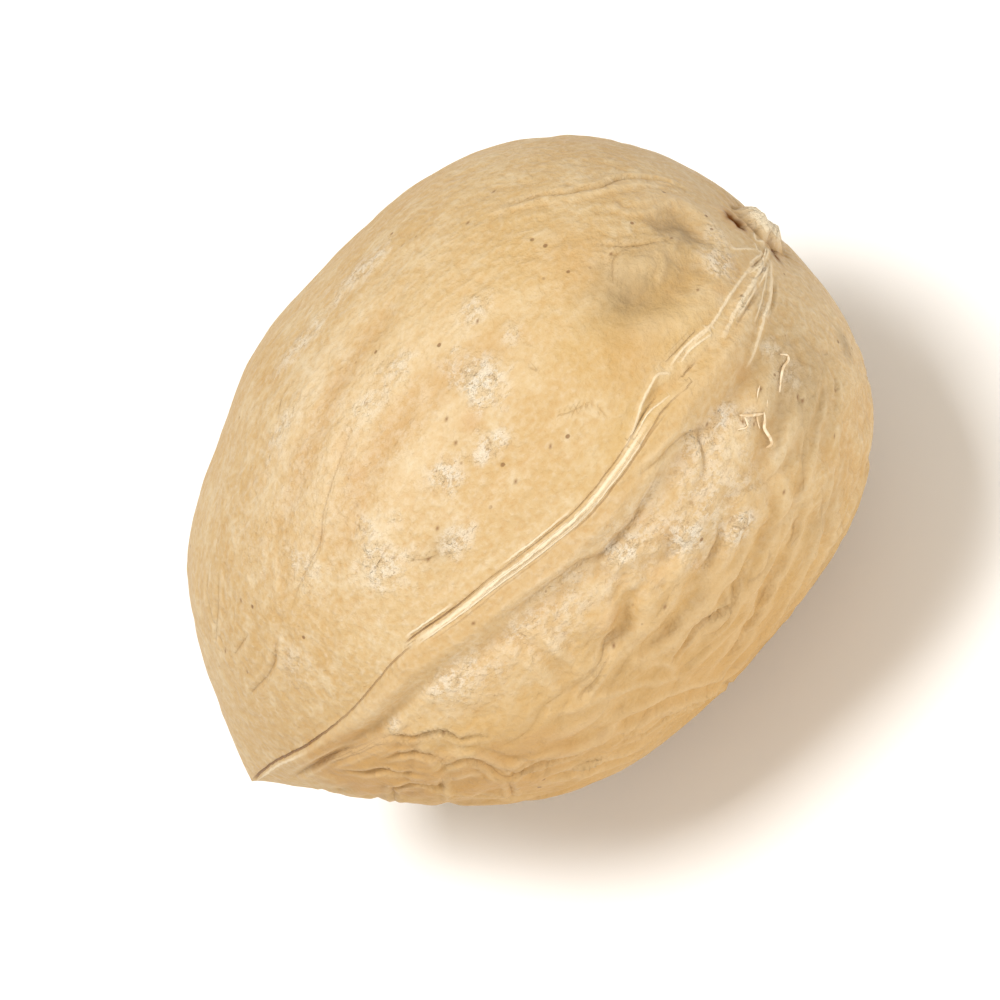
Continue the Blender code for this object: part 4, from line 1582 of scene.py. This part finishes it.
@dataclass(frozen=True)
class FibreFinish:
    """Dry pale husk fibre."""

    pale: Colour = (0.80, 0.69, 0.50, 1.0)
    tan: Colour = (0.64, 0.46, 0.26, 1.0)
    streak_scale: Scale = (900.0, 2600.0, 2600.0)
    streak_height: float = 0.00008
    roughness: float = 0.7
    specular: float = 0.25

    def material(self) -> bpy.types.Material:
        """Builds the nodes.

        Returns:
            The material.
        """
        graph = Graph("husk_fibre")
        streak = graph.noise(self.streak_scale, 3.0)
        graph.shade("Base Color", graph.mix(graph.ramp(streak, 0.35, 0.65), self.pale, self.tan))
        graph.shade("Roughness", self.roughness)
        graph.shade("Specular IOR Level", self.specular)
        graph.shade("Normal", graph.bump(streak, self.streak_height))
        return graph.material


@dataclass(frozen=True)
class FloorFinish:
    """Plain pale floor."""

    colour: Colour = (0.93, 0.925, 0.915, 1.0)
    roughness: float = 0.7
    specular: float = 0.1

    def material(self) -> bpy.types.Material:
        """Builds the nodes.

        Returns:
            The material.
        """
        graph = Graph("pale_floor")
        graph.shade("Base Color", self.colour)
        graph.shade("Roughness", self.roughness)
        graph.shade("Specular IOR Level", self.specular)
        return graph.material


@dataclass(frozen=True)
class Placement:
    """Carries points from the nut's axes in millimetres to the row's frame in metres."""

    rows: Array
    shift: Array

    @classmethod
    def from_frame(cls, form: ShellForm, axes: NutAxes) -> Placement:
        """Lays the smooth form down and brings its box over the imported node's.

        Args:
            form: the smooth shell.
            axes: how the nut lies.

        Returns:
            The placement.
        """
        low, high = (np.array(corner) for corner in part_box(NODE))
        along, turn = np.meshgrid(np.linspace(0.0, form.length, 400), np.linspace(-math.pi, math.pi, 720))
        laid = form.surface(along, turn).reshape(-1, 3) @ axes.rows() * MM
        shift = (low + high) / 2.0 - (laid.min(axis=0) + laid.max(axis=0)) / 2.0
        shift[2] = high[2] - laid[:, 2].max()
        return cls(axes.rows(), shift)

    def to_row(self, points: Array) -> Array:
        """Points in the row's frame."""
        return points @ self.rows * MM + self.shift

    def way(self, direction: Array) -> Array:
        """A direction in the row's frame."""
        return direction @ self.rows


def add_mesh(name: str, points: Array, faces: list[list[int]], material: bpy.types.Material) -> bpy.types.Object:
    """Makes a smooth-shaded mesh object at the origin.

    Args:
        name: the object's name.
        points: corner places in metres, one a row.
        faces: corner numbers of each face.
        material: its finish.

    Returns:
        The object, linked to the scene.
    """
    mesh = bpy.data.meshes.new(name)
    mesh.from_pydata(points, [], faces)
    mesh.polygons.foreach_set("use_smooth", np.ones(len(mesh.polygons), bool))
    mesh.materials.append(material)
    mesh.update()
    piece = bpy.data.objects.new(name, mesh)
    bpy.context.scene.collection.objects.link(piece)
    return piece


def ring_faces(rows: int, columns: int, flipped: bool = False) -> list[list[int]]:
    """Quads between rings of points, and a fan of triangles to each end's single point.

    Ring r has the points r * columns onwards; the two end points follow the last ring.

    Args:
        rows: how many rings.
        columns: how many points to a ring.
        flipped: turns every face over.

    Returns:
        The corner numbers of each face.
    """
    ring = np.arange(columns)
    onward = (ring + 1) % columns
    start = np.arange(rows - 1)[:, None] * columns
    quads = np.stack([start + ring, start + columns + ring, start + columns + onward, start + onward], axis=-1)
    last, first_end, second_end = (rows - 1) * columns, rows * columns, rows * columns + 1
    first_fan = np.stack([np.full(columns, first_end), ring, onward], axis=-1)
    second_fan = np.stack([np.full(columns, second_end), last + onward, last + ring], axis=-1)
    blocks = (quads.reshape(-1, 4), first_fan, second_fan)
    if flipped:
        blocks = tuple(np.concatenate([block[:, :1], block[:, :0:-1]], axis=1) for block in blocks)
    return [face for block in blocks for face in block.tolist()]


@dataclass
class Shell:
    """The whole shell as one closed surface that stands for the solid."""

    form: ShellForm
    finder: PictureFinder
    placement: Placement
    finish: ShellFinish = field(default_factory=ShellFinish)

    def sculpt(self) -> Sculpt:
        """Works every layer into the grid.

        Returns:
            The finished grid.
        """
        work = Sculpt(self.form, self.finder)
        layers = (Lumps(), VeinNet(), FineWrinkles(), FrontSeam(), BackSeam(), StemScar())
        lines = TOP_LINES + UPPER_CHEEK_LINES + LOWER_TIP_LINES + LOWER_CHEEK_LINES + SEAM_END_LINES
        drawn = lines + WORN_PATCHES + STAIN_AND_SHADE_PATCHES + SCAR_MARKS + PITS
        for layer in layers + drawn:
            layer.apply(work)
        return work

    def _keep(self, shell: bpy.types.Object, name: str, amount: Array) -> None:
        """Stores a value for each point of the grid as a point attribute."""
        values = np.concatenate([amount[1:-1].ravel(), [amount[0].mean(), amount[-1].mean()]])
        layer = shell.data.attributes.new(name, "FLOAT", "POINT")
        layer.data.foreach_set("value", values.astype(np.float32))

    def build(self) -> bpy.types.Object:
        """Makes the shell's mesh, flattens the spot it rests on, and stores its tints.

        Returns:
            The shell object.
        """
        work = self.sculpt()
        points = work.finished()
        ends = np.stack([points[0].mean(axis=0), points[-1].mean(axis=0)])
        rings = points[1:-1]
        placed = self.placement.to_row(np.concatenate([rings.reshape(-1, 3), ends]))
        placed[:, 2] = np.maximum(placed[:, 2], 0.0)
        shell = add_mesh("walnut_shell", placed, ring_faces(*rings.shape[:2]), self.finish.material())
        for tint, amount in work.tints.items():
            self._keep(shell, tint.value, np.clip(amount, 0.0, 1.0))
        for line in Line:
            self._keep(shell, line.value, work.gaps[line])
            self._keep(shell, line.strength_name(), work.strengths[line])
        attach(shell, BODY)
        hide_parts(NODE)
        return shell


@dataclass(frozen=True)
class Thread:
    """One husk fibre lying on the shell through places in the picture."""

    radius: float
    path: Places
    lift: float = 0.05


# Loops and tufts of husk fibre that stand clear of the shell near the stem: radius, places and lift.
HUSK_THREADS = (
    Thread(0.09, ((42.0, 1.15), (41.3, 1.85), (40.3, 2.55), (39.3, 3.1), (38.3, 3.7), (37.3, 4.05)), 0.02),
    Thread(0.08, ((42.4, 0.55), (42.0, 0.75), (41.3, 1.0), (40.3, 1.3), (39.3, 1.55)), 0.02),
    Thread(0.08, ((38.40, 5.15), (38.65, 5.50), (38.45, 5.72), (38.0, 5.78), (37.46, 6.09), (36.84, 6.56))),
    Thread(0.09, ((34.3, 5.8), (34.5, 6.05), (34.82, 6.35), (35.29, 6.72)), 0.07),
    Thread(0.09, ((35.35, 6.70), (35.1, 7.0), (34.73, 7.31), (34.56, 7.9), (34.38, 8.2), (34.04, 8.14)), 0.07),
    Thread(0.06, ((34.95, 6.50), (34.75, 6.80), (34.55, 7.13))),
    Thread(0.06, ((34.45, 6.05), (34.15, 6.55), (33.64, 6.28))),
    Thread(0.05, ((36.3, 5.5), (36.0, 5.65), (35.7, 5.86))),
    Thread(0.05, ((36.35, 6.1), (36.0, 6.35), (35.7, 6.62))),
)


@dataclass
class HuskThreads:
    """Dried husk fibres stuck to the shell below the stem, as thin tubes that lie on it."""

    form: ShellForm
    finder: PictureFinder
    placement: Placement
    sides: int = 8
    end_radius: float = 0.35
    flatness: float = 0.8
    wobble: float = 0.5
    wobble_fineness: float = 1.7
    point_length: float = 0.05
    finish: FibreFinish = field(default_factory=FibreFinish)

    def _tube(self, thread: Thread) -> tuple[Array, list[list[int]]]:
        """One tapered, slightly flat tube: rings of even points round the path, with a point at each end.

        Args:
            thread: the fibre.

        Returns:
            Corner places in metres, and faces.
        """
        line = self.finder.on_shell(smooth_path(thread.path))
        middle = np.array([self.form.length / 2.0, 0.0, 0.0])
        outward = (line - middle) / np.linalg.norm(line - middle, axis=1, keepdims=True)
        line = line + outward * thread.lift
        ahead = np.gradient(line, axis=0)
        ahead /= np.linalg.norm(ahead, axis=1, keepdims=True)
        side = np.cross(ahead, outward)
        side /= np.linalg.norm(side, axis=1, keepdims=True)
        top = np.cross(side, ahead)
        share = np.linspace(0.0, 1.0, len(line))
        wobble = 1.0 + self.wobble * Noise(81).at(line * self.wobble_fineness)
        swell = self.end_radius + (1.0 - self.end_radius) * np.sqrt(np.sin(math.pi * share))
        radius = thread.radius * swell * wobble
        angle = np.arange(self.sides) / self.sides * 2.0 * math.pi
        sideways = np.cos(angle)[None, :, None] * side[:, None]
        upwards = self.flatness * np.sin(angle)[None, :, None] * top[:, None]
        rings = line[:, None] + radius[:, None, None] * (sideways + upwards)
        tips = (line[:1] - self.point_length * ahead[:1], line[-1:] + self.point_length * ahead[-1:])
        points = np.concatenate([rings.reshape(-1, 3), *tips])
        return self.placement.to_row(points), ring_faces(len(line), self.sides, flipped=True)

    def build(self) -> bpy.types.Object:
        """Joins every fibre into one piece.

        Returns:
            The fibres.
        """
        points: list[Array] = []
        faces: list[list[int]] = []
        for thread in HUSK_THREADS:
            places, corners = self._tube(thread)
            before = sum(len(block) for block in points)
            points.append(places)
            faces.extend([[corner + before for corner in face] for face in corners])
        threads = add_mesh("husk_threads", np.concatenate(points), faces, self.finish.material())
        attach(threads, BODY)
        return threads


@dataclass(frozen=True)
class Lamp:
    """A square soft light aimed at the nut: its direction by the picture's axes, distance, side and watts."""

    name: str
    right: float
    up: float
    towards: float
    distance: float
    size: float
    power: float


@dataclass
class Studio:
    """Pale floor, soft lights and the camera, set up from the photograph's view of the nut."""

    view: PictureView
    placement: Placement
    camera_distance: float = 0.5
    frame_width: float = 0.0575
    sensor: float = 36.0
    floor_size: float = 1.6
    floor_gap: float = 0.00002
    clip_start: float = 0.01
    clip_end: float = 20.0
    room_colour: Colour = (1.0, 0.91, 0.79, 1.0)
    room_strength: float = 0.50
    lamps: tuple[Lamp, ...] = (
        Lamp("key_light", -0.85, 0.42, 0.95, 0.9, 0.36, 7.3),
        Lamp("fill_light", 0.55, -0.25, 1.0, 1.0, 0.8, 5.6),
    )

    def _picture_axes(self) -> tuple[Vector, Vector, Vector]:
        """The picture's right and up, and the way to the camera, in the row's frame."""
        along = self.placement.way(self.view.up_the_nut())
        left = -self.placement.way(self.view.across_the_nut())
        cosine, sine = math.cos(self.view.slope), math.sin(self.view.slope)
        right = cosine * along - sine * left
        up = sine * along + cosine * left
        return Vector(right), Vector(up), Vector(self.placement.way(self.view.towards()))

    def _floor(self) -> None:
        """A plain square, a hair under the nut."""
        half = self.floor_size / 2.0
        low = -self.floor_gap
        corners = np.array([[-half, -half, low], [half, -half, low], [half, half, low], [-half, half, low]])
        floor = add_mesh("floor", corners, [[0, 1, 2, 3]], FloorFinish().material())

    def _light(self, lamp: Lamp, way: Vector, target: Vector) -> None:
        """Makes one light.

        Args:
            lamp: its settings.
            way: direction from the nut to the light.
            target: the place it faces.
        """
        data = bpy.data.lights.new(lamp.name, "AREA")
        data.shape = "SQUARE"
        data.size = lamp.size
        data.energy = lamp.power
        light = bpy.data.objects.new(lamp.name, data)
        light.location = target + way.normalized() * lamp.distance
        light.rotation_euler = way.to_track_quat("Z", "Y").to_euler()
        bpy.context.scene.collection.objects.link(light)

    def build(self) -> None:
        """Makes the floor, lights, world and camera."""
        scene = bpy.context.scene
        right, up, towards = self._picture_axes()
        low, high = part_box(NODE)
        target = (low + high) / 2.0
        self._floor()
        for lamp in self.lamps:
            self._light(lamp, lamp.right * right + lamp.up * up + lamp.towards * towards, target)
        world = bpy.data.worlds.new("white_room")
        world.use_nodes = True
        backdrop = world.node_tree.nodes["Background"]
        backdrop.inputs["Color"].default_value = self.room_colour
        backdrop.inputs["Strength"].default_value = self.room_strength
        scene.world = world
        scene.view_settings.view_transform = "Standard"
        data = bpy.data.cameras.new("camera")
        data.sensor_width = self.sensor
        data.lens = self.sensor * self.camera_distance / self.frame_width
        data.clip_start = self.clip_start
        data.clip_end = self.clip_end
        camera = bpy.data.objects.new("camera", data)
        turn = Matrix((right, up, towards)).transposed().to_4x4()
        camera.matrix_world = Matrix.Translation(target + towards * self.camera_distance) @ turn
        scene.collection.objects.link(camera)
        scene.camera = camera


def main() -> None:
    """Loads the frame, builds the walnut and its studio, and notes the sizes."""
    logging.basicConfig(level=logging.INFO, format="%(name)s: %(message)s")
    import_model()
    form = ShellForm()
    view = PictureView()
    finder = PictureFinder(form, view)
    placement = Placement.from_frame(form, NutAxes())
    for maker in (Shell(form, finder, placement), HuskThreads(form, finder, placement)):
        piece = maker.build()
        LOG.info("%s: %d faces", piece.name, len(piece.data.polygons))
    Studio(view, placement).build()


if __name__ == "__main__":
    main()
